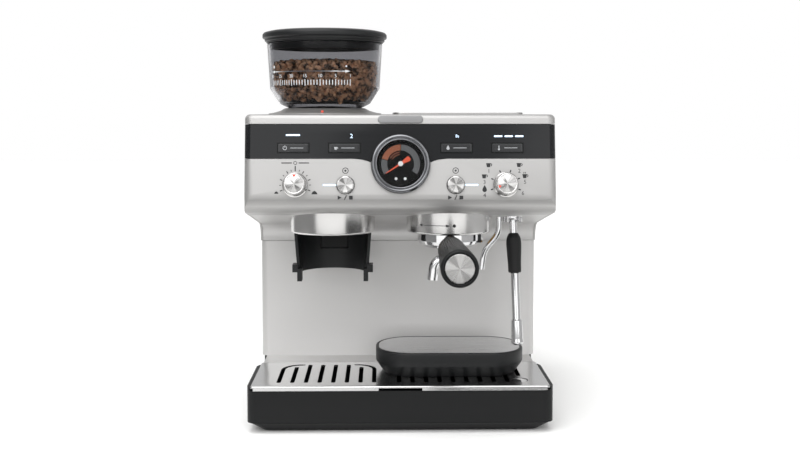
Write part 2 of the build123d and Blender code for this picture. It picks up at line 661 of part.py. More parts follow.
def portafilter_spout():
    """Twin chrome spout under the portafilter."""
    hub = lathe(0, 0, [(0, 163), (7, 163), (9, 166), (9, 176.8), (4.8, 176.8), (4.8, 172), (0, 172)])
    bend_r = 11.0
    for side in (-1, 1):
        start = (side * 4.0, 0, 168)
        elbow = CenterArc((side * 4.0, 168 - bend_r), bend_r, 90, -90 * side)
        path = Plane.XZ * elbow
        ring = Plane(origin=start, z_dir=(side, 0, 0)) * Circle(5.0)
        hub += sweep(ring, path)
        hub += rod(side * (4.0 + bend_r), 0, 147, 168 - bend_r, 5.0)
        hub -= rod(side * (4.0 + bend_r), 0, 140, 160, 3.4)
    return Pos(GROUP_X, HEAD_Y, 0) * hub


def boiler():
    """Heating block above the group head."""
    block = rounded_slab(GROUP_X - 38, GROUP_X + 38, -50, 34, 248.3, 296, 8)
    return block + rod(GROUP_X, 10, 296, 304, 6)


def water_pump():
    """Vibration pump lying across the tower."""
    body = Pos(40, 80, 78) * Rot(0, 90, 0) * (Cylinder(18, 60) + Pos(0, 0, 42) * Cylinder(8, 30))
    return body + slab(20, 60, 64, 96, LEDGE_Z + 0.5, 62)


# ---- water and steam -----------------------------------------------------------------------------
def water_tank():
    """Clear tank in the back bay, with its outlet valve below."""
    outer = rounded_slab(-TANK_HALF, TANK_HALF, TANK_FRONT, TANK_BACK, 50, TANK_TOP, 6)
    half = TANK_HALF - 2.5
    inner = rounded_slab(-half, half, TANK_FRONT + 2.5, TANK_BACK - 2.5, 53, TANK_TOP + 5, 4)
    return outer - inner + rod(0, (TANK_FRONT + TANK_BACK) / 2, 42, 51, 7.0)


def tank_lid():
    """Flat lid of the tank with a finger recess, level with the top cover."""
    lid = rounded_slab(-TANK_HALF, TANK_HALF, TANK_FRONT, TANK_BACK, TANK_TOP + 0.4, TOP - 1, 6)
    lid = fillet(lid.faces().sort_by(Axis.Z)[-1].edges(), 1.0)
    return lid - rounded_slab(-30, 30, 150, 176, TOP - 7, TOP + 5, 8)


def hot_water_tube():
    """Bent chrome tube for hot water."""
    x = HOT_TUBE_X
    points = [(x, HEAD_Y, 232), (x, HEAD_Y, 196), (x - 16, HEAD_Y, 177), (x - 18, HEAD_Y, 158)]
    path = FilletPolyline(*points, radius=[16, 12])
    ring = Plane(origin=path @ 0, z_dir=path % 0) * Circle(3.0)
    bore = Plane(origin=path @ 0, z_dir=path % 0) * Circle(2.1)
    return sweep(ring, path) - sweep(bore, path)


def wand_place():
    """Place of the steam wand: its ball at the origin, leaning forward and outward."""
    return Pos(*WAND) * Rot(-WAND_LEAN_FRONT, 0, 0) * Rot(0, -WAND_LEAN_SIDE, 0)


def wand_socket():
    """Chrome socket round the wand's ball, slotted in front so that the wand can swing forward."""
    x, y, z = WAND
    cup = pipe(x, y, z - 8.5, z + 10, 10.0, 5.5)
    cup -= Pos(*WAND) * Sphere(8.0 + SPINDLE_GAP)
    cup -= rod(x, y, z - 20, z, 6.4)
    return cup - slab(x - 5.0, x + 5.0, y - 15, y, z - 20, z + 1)


def steam_wand():
    """Ball, stem, tube and thicker nozzle of the steam wand, bored from end to end."""
    body = Sphere(8.0) + rod(0, 0, -63, -5, 4.0) + rod(0, 0, -112, -62.2, 4.4)
    tip = [(0, -137), (3.5, -137), (6.6, -134.5), (6.0, -131), (5.8, -112), (4.4, -110.5), (0, -110.5)]
    body += lathe(0, 0, tip)
    return wand_place() * (body - rod(0, 0, -140, 10, 2.0))


def wand_grip():
    """Rubber sleeve on the wand."""
    inner = 4.0
    outline = [(inner, -62), (6.6, -62), (6.8, -60.5), (6.9, -52), (7.8, -40), (8.0, -31), (7.2, -25)]
    outline += [(5.2, -21.5), (inner, -20.5)]
    return wand_place() * lathe(0, 0, outline)


# ---- drip area -----------------------------------------------------------------------------------
def tray_block(inset, z0, z1):
    """Plan shape of the drip tray: rounded in front, chamfered at the back."""
    half = HALF_WIDTH - 0.2 - inset
    y0 = TRAY_FRONT + inset
    y1 = LEDGE_Y - 0.4 - inset
    block = rounded_slab(-half, half, y0, y1 + 30, z0, z1, CORNER_R - inset / 2)
    edge = Polyline((-half, y1 - 13), (-half + 6, y1), (half - 6, y1), (half, y1 - 13),
                    (half, y0 - 20), (-half, y0 - 20), close=True)
    return block & extrude(Pos(0, 0, z0) * make_face(edge), z1 - z0)


def drip_tray():
    """Deep black drawer under the drip plate, with raised side rims and a cup for the float."""
    tray = tray_block(0, TRAY_Z, 47.3) - tray_block(3.2, TRAY_Z + 3, 60)
    tray -= slab(-HALF_WIDTH + 3.4, HALF_WIDTH - 3.4, TRAY_FRONT - 5, 60, 43.6, 60)
    return tray + pipe(*FLOAT_AT, TRAY_Z + 2, 34, 9.5, 8.0)


def slot_xs():
    """Centres of the slots of the left group and of the right group."""
    left = [-SLOT_END_X + SLOT_PITCH * i for i in range(8)]
    right = [SLOT_END_X - SLOT_PITCH * i for i in range(10)]
    return left, sorted(right)


def straight_slot(x, y0, y1):
    """Cutter for one front-to-back slot with round ends."""
    r = SLOT_W / 2
    return slab(x - r, x + r, y0 + r, y1 - r, 40, 55) + rod(x, y0 + r, 40, 55, r) + rod(x, y1 - r, 40, 55, r)


def arched_slot(x, y0, side):
    """Cutter for an outer slot, which arches over the end of its neighbour."""
    r = SLOT_W / 2
    bend = 20.0
    yc = SLOT_BACK - bend
    cx = x + side * bend
    outer = Line((x - side * r, y0 + r), (x - side * r, yc))
    far = CenterArc((cx, yc), bend + r, 180 if side > 0 else 0, -90 * side)
    cap = Line((cx, SLOT_BACK + r), (cx, SLOT_BACK - r))
    near = CenterArc((cx, yc), bend - r, 90, 90 * side)
    inner = Line((x + side * r, yc), (x + side * r, y0 + r))
    close = Line((x + side * r, y0 + r), (x - side * r, y0 + r))
    face = make_face([outer, far, cap, near, inner, close])
    return extrude(Pos(0, 0, 40) * face, 15) + rod(x, y0 + r, 40, 55, r) + rod(cx, SLOT_BACK, 40, 55, r)


def drip_plate():
    """Steel plate with two groups of slots, turned down in front, with a finger notch."""
    half = HALF_WIDTH - 3.8
    sheet = rounded_slab(-half, half, TRAY_FRONT, LEDGE_Y - 0.8, 46.5, PLATE_Z, 3)
    sheet += slab(-half + 3, half - 3, TRAY_FRONT, TRAY_FRONT + 2, 43.8, 47)
    edge = sheet.edges().filter_by(Axis.X).group_by(Axis.Y)[0].sort_by(Axis.Z)[-1]
    sheet = fillet(edge, 1.6)
    for xs in slot_xs():
        for i, x in enumerate(xs):
            if i in (0, len(xs) - 1):
                front = SLOT_FRONT if x < 100 else SLOT_FRONT + 24
                sheet -= arched_slot(x, front, 1 if i == 0 else -1)
            else:
                back = SLOT_BACK - (10 if i in (1, len(xs) - 2) else 0)
                sheet -= straight_slot(x, SLOT_FRONT, back)
    sheet -= rod(*FLOAT_AT, 40, 55, 8.6)
    return sheet - slab(-22, 22, TRAY_FRONT - 2, TRAY_FRONT + 3, 40, 46.4)


def tray_float():
    """Float that rises through the plate when the tray is full."""
    x, y = FLOAT_AT
    outline = [(0, 14.2), (7.4, 14.2), (7.4, 30), (4, 32), (4, 45.5), (7.6, 46.5), (7.6, 48.2), (0, 48.8)]
    return lathe(x, y, outline)


def cup_platform():
    """Removable oval riser with a bevelled foot, hollow below."""
    px, py = PLATFORM_AT
    w, d = PLATFORM_SIZE
    def outline(inset):
        return (px - w / 2 + inset, px + w / 2 - inset, py - d / 2 + inset, py + d / 2 - inset)
    foot = flared_slab(outline(8), outline(0), PLATE_Z + 0.3, 61, 30, 38)
    body = foot + rounded_slab(*outline(0), 61, PLATFORM_TOP, 38)
    body = fillet(body.faces().sort_by(Axis.Z)[-1].edges(), 1.2)
    return body - flared_slab(outline(11), outline(3.5), PLATE_Z - 1, 62, 27, 34.5) \
        - rounded_slab(*outline(3.5), 61.9, PLATFORM_TOP - 3, 34.5)


# ---- all the pieces ------------------------------------------------------------------------------
def pieces():
    """Every node of the machine by name."""
    skin = casing()
    nodes = {
        "base_pan": base_pan(), "rubber_feet": rubber_feet(), "chassis_frame": chassis_frame(),
        "side_panel_left": side_panel(skin, -1), "side_panel_right": side_panel(skin, 1),
        "rear_panel": rear_panel(skin), "back_wall": back_wall(skin), "under_panel": under_panel(skin),
        "front_panel": front_panel(skin), "control_band": control_band(skin), "top_cover": top_cover(skin),
        "cup_warmer_plate": cup_warmer_plate(), "case_screws": case_screws(), "power_inlet": power_inlet(),
        "gauge_case": gauge_case(), "gauge_bezel": gauge_bezel(), "gauge_glass": gauge_glass(),
        "gauge_needle": gauge_needle(), "dose_knob": knob(-KNOB_X), "mode_knob": knob(KNOB_X),
        "grind_button": round_button(-ROUND_BUTTON_X), "brew_button": round_button(ROUND_BUTTON_X),
        "indicator_lenses": indicator_lenses(), "control_board": control_board(),
        "hopper_collar": hopper_collar(), "hopper_bowl": hopper_bowl(), "hopper_lid": hopper_lid(),
        "grinder_housing": grinder_housing(), "upper_burr": upper_burr(), "lower_burr": lower_burr(),
        "grinder_gearbox": grinder_gearbox(), "grinder_motor": grinder_motor(),
        "outlet_ring": outlet_ring(), "portafilter_cradle": portafilter_cradle(),
        "grind_paddle": grind_paddle(), "group_shroud": group_shroud(), "group_head": group_head(),
        "group_gasket": group_gasket(), "shower_screen": shower_screen(),
        "portafilter_body": portafilter_body(), "filter_basket": filter_basket(),
        "portafilter_handle": portafilter_handle(), "handle_cap": handle_cap(),
        "portafilter_spout": portafilter_spout(), "boiler": boiler(), "water_pump": water_pump(),
        "water_tank": water_tank(), "tank_lid": tank_lid(), "hot_water_tube": hot_water_tube(),
        "wand_socket": wand_socket(), "steam_wand": steam_wand(), "wand_grip": wand_grip(),
        "drip_tray": drip_tray(), "drip_plate": drip_plate(), "tray_float": tray_float(),
        "cup_platform": cup_platform(),
    }
    names = ("power_button", "cups_button", "infusion_button", "temperature_button")
    for name, x in zip(names, BAND_BUTTON_X):
        nodes[name] = band_button(x)
    return nodes


os.makedirs("parts", exist_ok=True)
for node_name, shape in pieces().items():
    export_step(shape, f"parts/{node_name}.step")
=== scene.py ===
"""Looks of an espresso machine with a built-in grinder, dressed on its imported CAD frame.

Lengths are in millimetres in this script and become metres when a mesh is made.
"""

import json
import logging
import math
from dataclasses import dataclass
from enum import Enum
from typing import Any, Sequence

import bmesh
import bpy
import numpy as np
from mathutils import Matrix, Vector

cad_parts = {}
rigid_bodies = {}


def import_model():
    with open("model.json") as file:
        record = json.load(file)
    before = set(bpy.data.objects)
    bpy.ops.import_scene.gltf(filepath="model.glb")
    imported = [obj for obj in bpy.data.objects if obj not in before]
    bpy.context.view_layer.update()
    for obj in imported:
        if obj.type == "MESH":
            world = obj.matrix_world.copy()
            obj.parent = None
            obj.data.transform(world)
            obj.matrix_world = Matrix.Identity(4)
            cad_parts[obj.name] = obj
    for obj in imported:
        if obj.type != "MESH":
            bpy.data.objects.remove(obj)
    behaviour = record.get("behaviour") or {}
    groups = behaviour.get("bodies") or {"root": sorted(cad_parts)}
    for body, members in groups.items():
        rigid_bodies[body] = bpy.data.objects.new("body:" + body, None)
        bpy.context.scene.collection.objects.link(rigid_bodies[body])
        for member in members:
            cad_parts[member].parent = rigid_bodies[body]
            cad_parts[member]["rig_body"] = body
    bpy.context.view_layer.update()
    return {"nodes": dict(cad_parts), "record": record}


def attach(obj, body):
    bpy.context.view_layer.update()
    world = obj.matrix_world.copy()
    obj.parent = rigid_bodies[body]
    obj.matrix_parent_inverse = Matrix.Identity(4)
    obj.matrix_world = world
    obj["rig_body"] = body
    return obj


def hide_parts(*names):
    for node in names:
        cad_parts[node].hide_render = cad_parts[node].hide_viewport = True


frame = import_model()

LOG = logging.getLogger("espresso_machine")
MM = 0.001
TAU = 2 * math.pi
Array = np.ndarray
Object = bpy.types.Object
Tree = bpy.types.NodeTree
Socket = bpy.types.NodeSocket


# ---- finishes ----
def linear(code: str) -> tuple[float, float, float, float]:
    """Turn an sRGB hex colour into linear RGBA.

    Args:
        code: Six hex digits.

    Returns:
        Red, green, blue and alpha, linear.
    """
    s = np.array([int(code[i:i + 2], 16) for i in (0, 2, 4)]) / 255
    r, g, b = np.where(s <= 0.04045, s / 12.92, ((s + 0.055) / 1.055) ** 2.4)
    return float(r), float(g), float(b), 1.0


def add(tree: Tree, kind: str, values: dict | None = None, links: dict | None = None, **settings: Any) -> Any:
    """Add a shader node with its settings, socket values and incoming links.

    Args:
        tree: Node tree that gets the node.
        kind: Blender's type name of the node.
        values: Socket name or number to its value.
        links: Socket name or number to the output that feeds it.
        **settings: Properties of the node itself.

    Returns:
        The new node.
    """
    made = tree.nodes.new(kind)
    for key, value in settings.items():
        setattr(made, key, value)
    for key, value in (values or {}).items():
        made.inputs[key].default_value = value
    for key, source in (links or {}).items():
        tree.links.new(source, made.inputs[key])
    return made


def stand(name: str, data: bpy.types.ID) -> Object:
    """Put a new object in the scene.

    Args:
        name: Its name.
        data: Mesh, light or camera that it shows.

    Returns:
        The object.
    """
    made = bpy.data.objects.new(name, data)
    bpy.context.scene.collection.objects.link(made)
    return made


class Grain(Enum):
    """Direction of a brushed or rolled grain, as the millimetres that one streak measures in x, y and z."""

    ACROSS = (60.0, 0.5, 0.5)
    UPRIGHT = (0.5, 0.5, 60.0)
    DEEP = (0.5, 60.0, 0.5)
    EVEN = (0.7, 0.7, 0.7)
    SPUN = (8.0, 8.0, 0.25)


@dataclass(frozen=True)
class Finish:
    """A finish with a faint unevenness of tone, gloss and surface.

    Attributes:
        name: Material name, from the real material and process.
        colour: sRGB hex of the surface.
        metallic: 1 for bare metal, 0 for plastic and rubber.
        roughness: Middle of the roughness range.
        grain: Size and direction of the pattern.
        tone: Share by which the pattern darkens the colour.
        spread: How far the pattern moves the roughness each way.
        relief: Depth of the pattern in millimetres.
        coat: Weight of a clear gloss coat.
        ior: Index of refraction of a plastic.
        sheen_level: Principled specular level, below 0.5 for a surface that scatters its gleam.
    """

    name: str
    colour: str
    metallic: float = 0.0
    roughness: float = 0.4
    grain: Grain = Grain.EVEN
    tone: float = 0.08
    spread: float = 0.06
    relief: float = 0.01
    coat: float = 0.0
    ior: float = 1.5
    sheen_level: float = 0.5

    def material(self) -> bpy.types.Material:
        """Make the material, or give the one already made.

        Returns:
            The material.
        """
        found = bpy.data.materials.get("finish_" + self.name)
        if found:
            return found
        made = bpy.data.materials.new("finish_" + self.name)
        made.use_nodes = True
        tree = made.node_tree
        tree.nodes.clear()
        out = add(tree, "ShaderNodeOutputMaterial")
        shader = add(tree, "ShaderNodeBsdfPrincipled")
        tree.links.new(shader.outputs[0], out.inputs[0])
        values = {"Metallic": self.metallic, "Coat Weight": self.coat, "Coat Roughness": 0.05}
        if self.metallic < 0.5:
            values["IOR"] = self.ior
            values["Specular IOR Level"] = self.sheen_level
        for key, value in values.items():
            shader.inputs[key].default_value = value
        self.surface(tree, shader)
        return made

    def pattern(self, tree: Tree) -> Socket:
        """Streaks or fine grain, from noise on object coordinates scaled to the grain's millimetres.

        Args:
            tree: Material's node tree.

        Returns:
            The pattern, as a value about a half.
        """
        place = add(tree, "ShaderNodeTexCoord")
        scale = tuple(1000.0 / s for s in self.grain.value)
        turned = add(tree, "ShaderNodeMapping", {"Scale": scale}, {"Vector": place.outputs["Object"]})
        noise = add(tree, "ShaderNodeTexNoise", {"Scale": 1.0, "Detail": 3.0, "Roughness": 0.6},
                    {"Vector": turned.outputs[0]})
        return noise.outputs["Fac"]

    def surface(self, tree: Tree, shader: bpy.types.Node) -> None:
        """Drive colour, roughness and normal from the pattern.

        Args:
            tree: Material's node tree.
            shader: Its Principled node.
        """
        grain = self.pattern(tree)
        r, g, b, _ = linear(self.colour)
        low = (r * (1 - self.tone), g * (1 - self.tone), b * (1 - self.tone), 1.0)
        high = tuple(min(1.0, c * (1 + self.tone * 0.6)) for c in (r, g, b)) + (1.0,)
        tint = add(tree, "ShaderNodeMix", links={0: grain}, data_type="RGBA")
        tint.inputs[6].default_value, tint.inputs[7].default_value = low, high
        gloss = add(tree, "ShaderNodeMapRange", {
            "From Min": 0.3, "From Max": 0.7, "To Min": max(0.02, self.roughness - self.spread),
            "To Max": min(1.0, self.roughness + self.spread)}, {0: grain})
        bump = add(tree, "ShaderNodeBump", {"Strength": 0.6, "Distance": self.relief * MM},
                   {"Height": grain})
        tree.links.new(tint.outputs[2], shader.inputs["Base Color"])
        tree.links.new(gloss.outputs[0], shader.inputs["Roughness"])
        tree.links.new(bump.outputs[0], shader.inputs["Normal"])


@dataclass(frozen=True)
class TurnedFacePaintedFans(Finish):
    """A face turned on a lathe: fine rings about a centre, with light and dark fans painted into its colour
    as a painted reflection of its polish.

    Attributes:
        centre: Point on the axis of the rings, in millimetres.
        pitch: Distance between rings in millimetres.
    """

    centre: tuple[float, float, float] = (0.0, 0.0, 0.0)
    pitch: float = 0.55

    def pattern(self, tree: Tree) -> Socket:
        """Painted reflection fans as cosines of the angle about the centre, broken by fine noise from ring to
        ring.

        Args:
            tree: Material's node tree.

        Returns:
            The pattern, as a value about a half.
        """
        place = add(tree, "ShaderNodeTexCoord")
        shift = tuple(-c * MM for c in self.centre)
        moved = add(tree, "ShaderNodeMapping", {"Location": shift}, {"Vector": place.outputs["Object"]})
        part = add(tree, "ShaderNodeSeparateXYZ", links={0: moved.outputs[0]})
        angle = add(tree, "ShaderNodeMath", links={0: part.outputs["Z"], 1: part.outputs["X"]},
                    operation="ARCTAN2")
        painted_fan_sum = None
        # Painted reflection: light and dark fans by angle, mixed into the colour by the tone.
        for times, phase, weight in ((4, 0.7, 0.24), (6, 2.1, 0.12), (14, 0.3, 0.07)):
            turn = add(tree, "ShaderNodeMath", {1: float(times), 2: phase}, {0: angle.outputs[0]},
                       operation="MULTIPLY_ADD")
            wave = add(tree, "ShaderNodeMath", links={0: turn.outputs[0]}, operation="COSINE")
            ends = {0: wave.outputs[0]} if painted_fan_sum is None else {0: wave.outputs[0], 2: painted_fan_sum.outputs[0]}
            painted_fan_sum = add(tree, "ShaderNodeMath", {1: weight, 2: 0.5} if painted_fan_sum is None else {1: weight}, ends,
                        operation="MULTIPLY_ADD")
        reach = add(tree, "ShaderNodeVectorMath", links={0: moved.outputs[0]}, operation="LENGTH")
        ring = add(tree, "ShaderNodeMath", {1: 1000.0 / self.pitch}, {0: reach.outputs["Value"]},
                   operation="MULTIPLY")
        fine = add(tree, "ShaderNodeTexNoise", {"Scale": 1.0, "Detail": 1.0}, {"W": ring.outputs[0]},
                   noise_dimensions="1D")
        rough = add(tree, "ShaderNodeMath", {1: 0.16, 2: -0.08}, {0: fine.outputs["Fac"]},
                    operation="MULTIPLY_ADD")
        both = add(tree, "ShaderNodeMath", links={0: painted_fan_sum.outputs[0], 1: rough.outputs[0]}, operation="ADD")
        return both.outputs[0]


@dataclass(frozen=True)
class ClearPlastic(Finish):
    """A transparent moulded plastic or flat glass that lets most of the light through.

    Attributes:
        clear: Share of the light that goes through.
    """

    clear: float = 0.85

    def surface(self, tree: Tree, shader: bpy.types.Node) -> None:
        """Add transmission to the plain surface.

        Args:
            tree: Material's node tree.
            shader: Its Principled node.
        """
        super().surface(tree, shader)
        shader.inputs["Transmission Weight"].default_value = self.clear
        shader.inputs["Specular IOR Level"].default_value = 0.2


@dataclass(frozen=True)
class LitLens(Finish):
    """A diffusing lens with a light behind it.

    Attributes:
        glow: Strength of the light.
    """

    glow: float = 2.0

    def surface(self, tree: Tree, shader: bpy.types.Node) -> None:
        """Let the lens give its own light as well.

        Args:
            tree: Material's node tree.
            shader: Its Principled node.
        """
        super().surface(tree, shader)
        shader.inputs["Emission Color"].default_value = linear(self.colour)
        shader.inputs["Emission Strength"].default_value = self.glow


# Pressed sheet with a fine matt lacquer over horizontal brushing: soft and bright, with faint lines.
BRUSHED = Finish("stainless_steel_brushed", "bab9b8", 1.0, 0.33, Grain.ACROSS, 0.08, 0.07, 0.012)
# Case panels of sheet steel, sprayed with fine aluminium-flake paint: even, satin, slightly grainy.
CASE_PAINT = Finish("steel_flake_painted", "b2b1b0", 0.72, 0.46, Grain.EVEN, 0.05, 0.05, 0.006)
# The same flake paint made lighter, on the splash wall and the underside: painted light that lifts the shade
# under the head.
LIGHTENED_PAINT = Finish("steel_flake_painted_lightened", "cac9c8", 0.72, 0.46, Grain.EVEN, 0.05, 0.05, 0.006)
# Zinc casting plated in bright chrome: a near mirror with very slight waviness.
CHROME = Finish("zinc_chrome_plated", "dcdcdd", 1.0, 0.10, Grain.EVEN, 0.04, 0.03, 0.002)
# Spun steel ring with a satin polish.
SPUN = Finish("steel_spun_satin", "d6d5d4", 1.0, 0.22, Grain.SPUN, 0.015, 0.015, 0.0001)
# Chrome painted a darker mid grey: painted shade for the dark reflections that the ring shows; its edges stay
# bright.
SHADED_CHROME = Finish("chrome_shaded_zinc_plated", "7d7e81", 1.0, 0.14, Grain.EVEN, 0.04, 0.03, 0.001)
STEEL = Finish("steel_rolled", "a9a9a8", 1.0, 0.42, Grain.ACROSS, 0.08, 0.06, 0.010)
# Steel plate with a satin finish that mirrors what stands behind it.
PLATE = Finish("stainless_plate_satin", "c8c8c8", 1.0, 0.20, Grain.DEEP, 0.05, 0.05, 0.004)
# ABS moulded in a spark-eroded tool: dark grey with a fine even grain.
BLACK_ABS = Finish("abs_moulded_black", "1a1b1c", 0.0, 0.44, Grain.EVEN, 0.18, 0.06, 0.030, sheen_level=0.3)
# The same ABS in a darker colour with the same grain, on the drip tray, base pan and paddle; on the base pan
# the darker colour is painted shade on its down-facing chamfer.
DARKER_ABS_WITH_SHADE = Finish("abs_moulded_darker_with_shade", "0e0f10", 0.0, 0.46, Grain.EVEN, 0.18, 0.06, 0.030, sheen_level=0.25)
# Polycarbonate band with a polished surface: deep black, sharp reflections.
GLOSS_BLACK = Finish("polycarbonate_polished_black", "17181a", 0.0, 0.13, Grain.ACROSS, 0.10, 0.03, 0.002,
                     sheen_level=0.3)
GLOSS_KEY = Finish("polycarbonate_key_black", "1b1c1e", 0.0, 0.22, Grain.ACROSS, 0.10, 0.04, 0.002)
WINDOW_BLACK = Finish("display_window_black", "08090a", 0.0, 0.2, Grain.EVEN, 0.10, 0.04, 0.001,
                      sheen_level=0.3)
LID_PLASTIC = Finish("abs_satin_lid", "1c1d1e", 0.0, 0.38, Grain.EVEN, 0.12, 0.05, 0.010, sheen_level=0.3)
RUBBER = Finish("rubber_moulded", "131314", 0.0, 0.55, Grain.EVEN, 0.15, 0.06, 0.030, sheen_level=0.3)
NYLON = Finish("nylon_moulded_handle", "111213", 0.0, 0.40, Grain.DEEP, 0.15, 0.08, 0.020, sheen_level=0.22)
SMOKED = ClearPlastic("polycarbonate_smoked", "c2c2c5", 0.0, 0.04, Grain.EVEN, 0.04, 0.02, 0.001, ior=1.2,
                      clear=1.0)
GLASS = ClearPlastic("glass_flat_clear", "fbfcfc", 0.0, 0.03, Grain.EVEN, 0.01, 0.01, 0.0005, ior=1.12,
                     clear=1.0)
LENS = LitLens("diffuser_lit", "cfe6ff", 0.0, 0.4, glow=0.9)
DIAL = Finish("dial_matt_printed", "070708", 0.0, 0.6, Grain.EVEN, 0.12, 0.05, 0.004, sheen_level=0.15)
NEEDLE_RED = Finish("needle_enamelled", "d9502a", 0.0, 0.38, Grain.EVEN, 0.06, 0.05, 0.003)
INK_WHITE = Finish("ink_screen_printed_white", "dfe1e3", 0.0, 0.55, Grain.EVEN, 0.05, 0.04, 0.002)
INK_GREY = Finish("ink_screen_printed_grey", "a4a6a9", 0.0, 0.55, Grain.EVEN, 0.05, 0.04, 0.002)
INK_DARK = Finish("ink_screen_printed_dark", "17181a", 0.0, 0.5, Grain.EVEN, 0.08, 0.04, 0.002)
INK_ARC = Finish("ink_screen_printed_arc", "505153", 0.0, 0.5, Grain.EVEN, 0.06, 0.04, 0.002)
INK_ORANGE = Finish("ink_screen_printed_orange", "8f4c2b", 0.0, 0.5, Grain.EVEN, 0.08, 0.04, 0.002)
PAINT_RED = Finish("paint_filled_red", "d8452f", 0.0, 0.45, Grain.EVEN, 0.06, 0.04, 0.003)
PLATFORM_TOP = Finish("steel_platform_satin", "c9c9ca", 1.0, 0.30, Grain.ACROSS, 0.08, 0.06, 0.008)
BRASS = Finish("brass_machined", "c9a46a", 1.0, 0.3)
ALUMINIUM = Finish("aluminium_die_cast", "b4b5b7", 1.0, 0.5, Grain.EVEN, 0.10, 0.08, 0.05)
BOARD = Finish("circuit_board_lacquered", "1d5a35", 0.0, 0.35)
BURR = Finish("steel_hardened_ground", "9a9a9c", 1.0, 0.3, Grain.UPRIGHT)
BADGE = Finish("nameplate_anodised", "8f8f90", 1.0, 0.34, Grain.ACROSS, 0.05, 0.05, 0.004)


@dataclass(frozen=True)
class RoastedBean(Finish):
    """Roasted coffee: brown with lighter and darker beans and an oily gleam."""

    def pattern(self, tree: Tree) -> Socket:
        """Noise about one bean across, so that neighbouring beans differ.

        Args:
            tree: Material's node tree.

        Returns:
            The pattern, as a value about a half.
        """
        place = add(tree, "ShaderNodeTexCoord")
        noise = add(tree, "ShaderNodeTexNoise", {"Scale": 1000.0 / 6.0, "Detail": 2.0},
                    {"Vector": place.outputs["Object"]})
        spread = add(tree, "ShaderNodeMapRange", {"From Min": 0.38, "From Max": 0.64},
                     {0: noise.outputs["Fac"]})
        return spread.outputs[0]


BEAN = RoastedBean("coffee_roasted", "cfa07a", 0.0, 0.34, Grain.EVEN, 0.88, 0.12, 0.2)

# Darker copy of the bean finish for the bed behind the beans: painted shade in the gaps between them.
BEAN_GAP_SHADE = RoastedBean("coffee_roasted_shaded", "21160f", 0.0, 0.6, Grain.EVEN, 0.4, 0.10, 0.2)

SLOT_FINISHES: dict[str, Finish] = {
    "brushed_steel": BRUSHED, "silver_paint": CASE_PAINT, "chrome": CHROME, "steel": STEEL,
    "black_plastic": BLACK_ABS, "gloss_black": GLOSS_BLACK, "dark_lid": LID_PLASTIC,
    "clear_smoke": SMOKED, "gauge_glass": GLASS, "lens": LENS, "dial_black": DIAL,
    "needle_red": NEEDLE_RED, "rubber": RUBBER, "brass": BRASS, "aluminium": ALUMINIUM,
    "board_green": BOARD, "burr_steel": BURR,
}


# ---- surfaces ----
@dataclass(frozen=True)
class Place:
    """A flat place on the machine: an origin, and directions to the right, up and outward."""

    origin: tuple[float, float, float]
    right: tuple[float, float, float] = (1.0, 0.0, 0.0)
    up: tuple[float, float, float] = (0.0, 0.0, 1.0)

    def out(self) -> Array:
        """Direction away from the surface."""
        return np.cross(np.array(self.right), np.array(self.up))

    def at(self, uvw: Array) -> Array:
        """Points right, up and outward of the origin.

        Args:
            uvw: Array whose last axis holds the three distances.

        Returns:
            The same array as x, y and z.
        """
        basis = np.array([self.right, self.up, self.out()])
        return np.asarray(uvw, float) @ basis + np.array(self.origin)


FRONT_Y, FRONT_Z, LEAN_TAN = -100.0, 242.0, 12.0 / 79.0
LEAN_COS = 1 / math.hypot(1.0, LEAN_TAN)
LEAN_UP = (0.0, LEAN_TAN * LEAN_COS, LEAN_COS)


def front(x: float, z: float) -> Place:
    """Place on the leaning front of the head.

    Args:
        x: Distance from the middle.
        z: Height.

    Returns:
        The place, with its up direction along the leaning face.
    """
    return Place((x, FRONT_Y + LEAN_TAN * (z - FRONT_Z), z), (1.0, 0.0, 0.0), LEAN_UP)


def upright(x: float, y: float, z: float = 0.0) -> Place:
    """Place whose outward direction points up, so that its third distance is a height above z."""
    return Place((x, y, z), (1.0, 0.0, 0.0), (0.0, 1.0, 0.0))


def turned_face_painted_fans(name: str, place: Place, height: float, tone: float = 0.66, colour: str = "c4c3c2",
                roughness: float = 0.24, pitch: float = 0.55) -> TurnedFacePaintedFans:
    """Finish of a face turned about the outward axis of a place, with painted reflection fans.

    Args:
        name: Name of the finish.
        place: Centre and axis.
        height: Distance of the face outward of the place.
        tone: Depth of the painted reflection fans.
        colour: sRGB hex of the metal.
        roughness: Middle of the roughness range.
        pitch: Distance between rings in millimetres.

    Returns:
        The finish.
    """
    return TurnedFacePaintedFans(name, colour, 1.0, roughness, Grain.EVEN, tone, 0.06, 0.01,
                      centre=tuple(place.at(np.array([0, 0, height]))), pitch=pitch)


def corner_curve(a: Array, b: Array, c: Array, n: int) -> Array:
    """Quadratic curves of n points from each a to each c, drawn towards each b."""
    t = np.linspace(0, 1, n)[None, :, None]
    return (1 - t) ** 2 * a[:, None] + 2 * t * (1 - t) * b[:, None] + t ** 2 * c[:, None]


def rounded(points: Sequence, radius: float, steps: int = 4, closed: bool = False) -> Array:
    """Round the corners of an outline: each becomes a quadratic curve between two points on its sides.

    Args:
        points: Corners, two coordinates each.
        radius: Distance from a corner to where its curve starts, at most 0.45 of a side.
        steps: Points per corner.
        closed: Whether the last corner joins the first.

    Returns:
        Points of the rounded outline.
    """
    p = np.asarray(points, float)
    before, after = np.roll(p, 1, 0) - p, np.roll(p, -1, 0) - p
    reach = [np.minimum(radius / np.linalg.norm(d, axis=1), 0.45)[:, None] * d for d in (before, after)]
    curve = corner_curve(p + reach[0], p, p + reach[1], steps)
    if closed:
        return curve.reshape(-1, 2)
    return np.vstack([p[:1], curve[1:-1].reshape(-1, 2), p[-1:]])


def circle(n: int) -> Array:
    """Unit circle as n points, cosine and sine of equal angles."""
    a = np.arange(n) * TAU / n
    return np.stack([np.cos(a), np.sin(a)], -1)


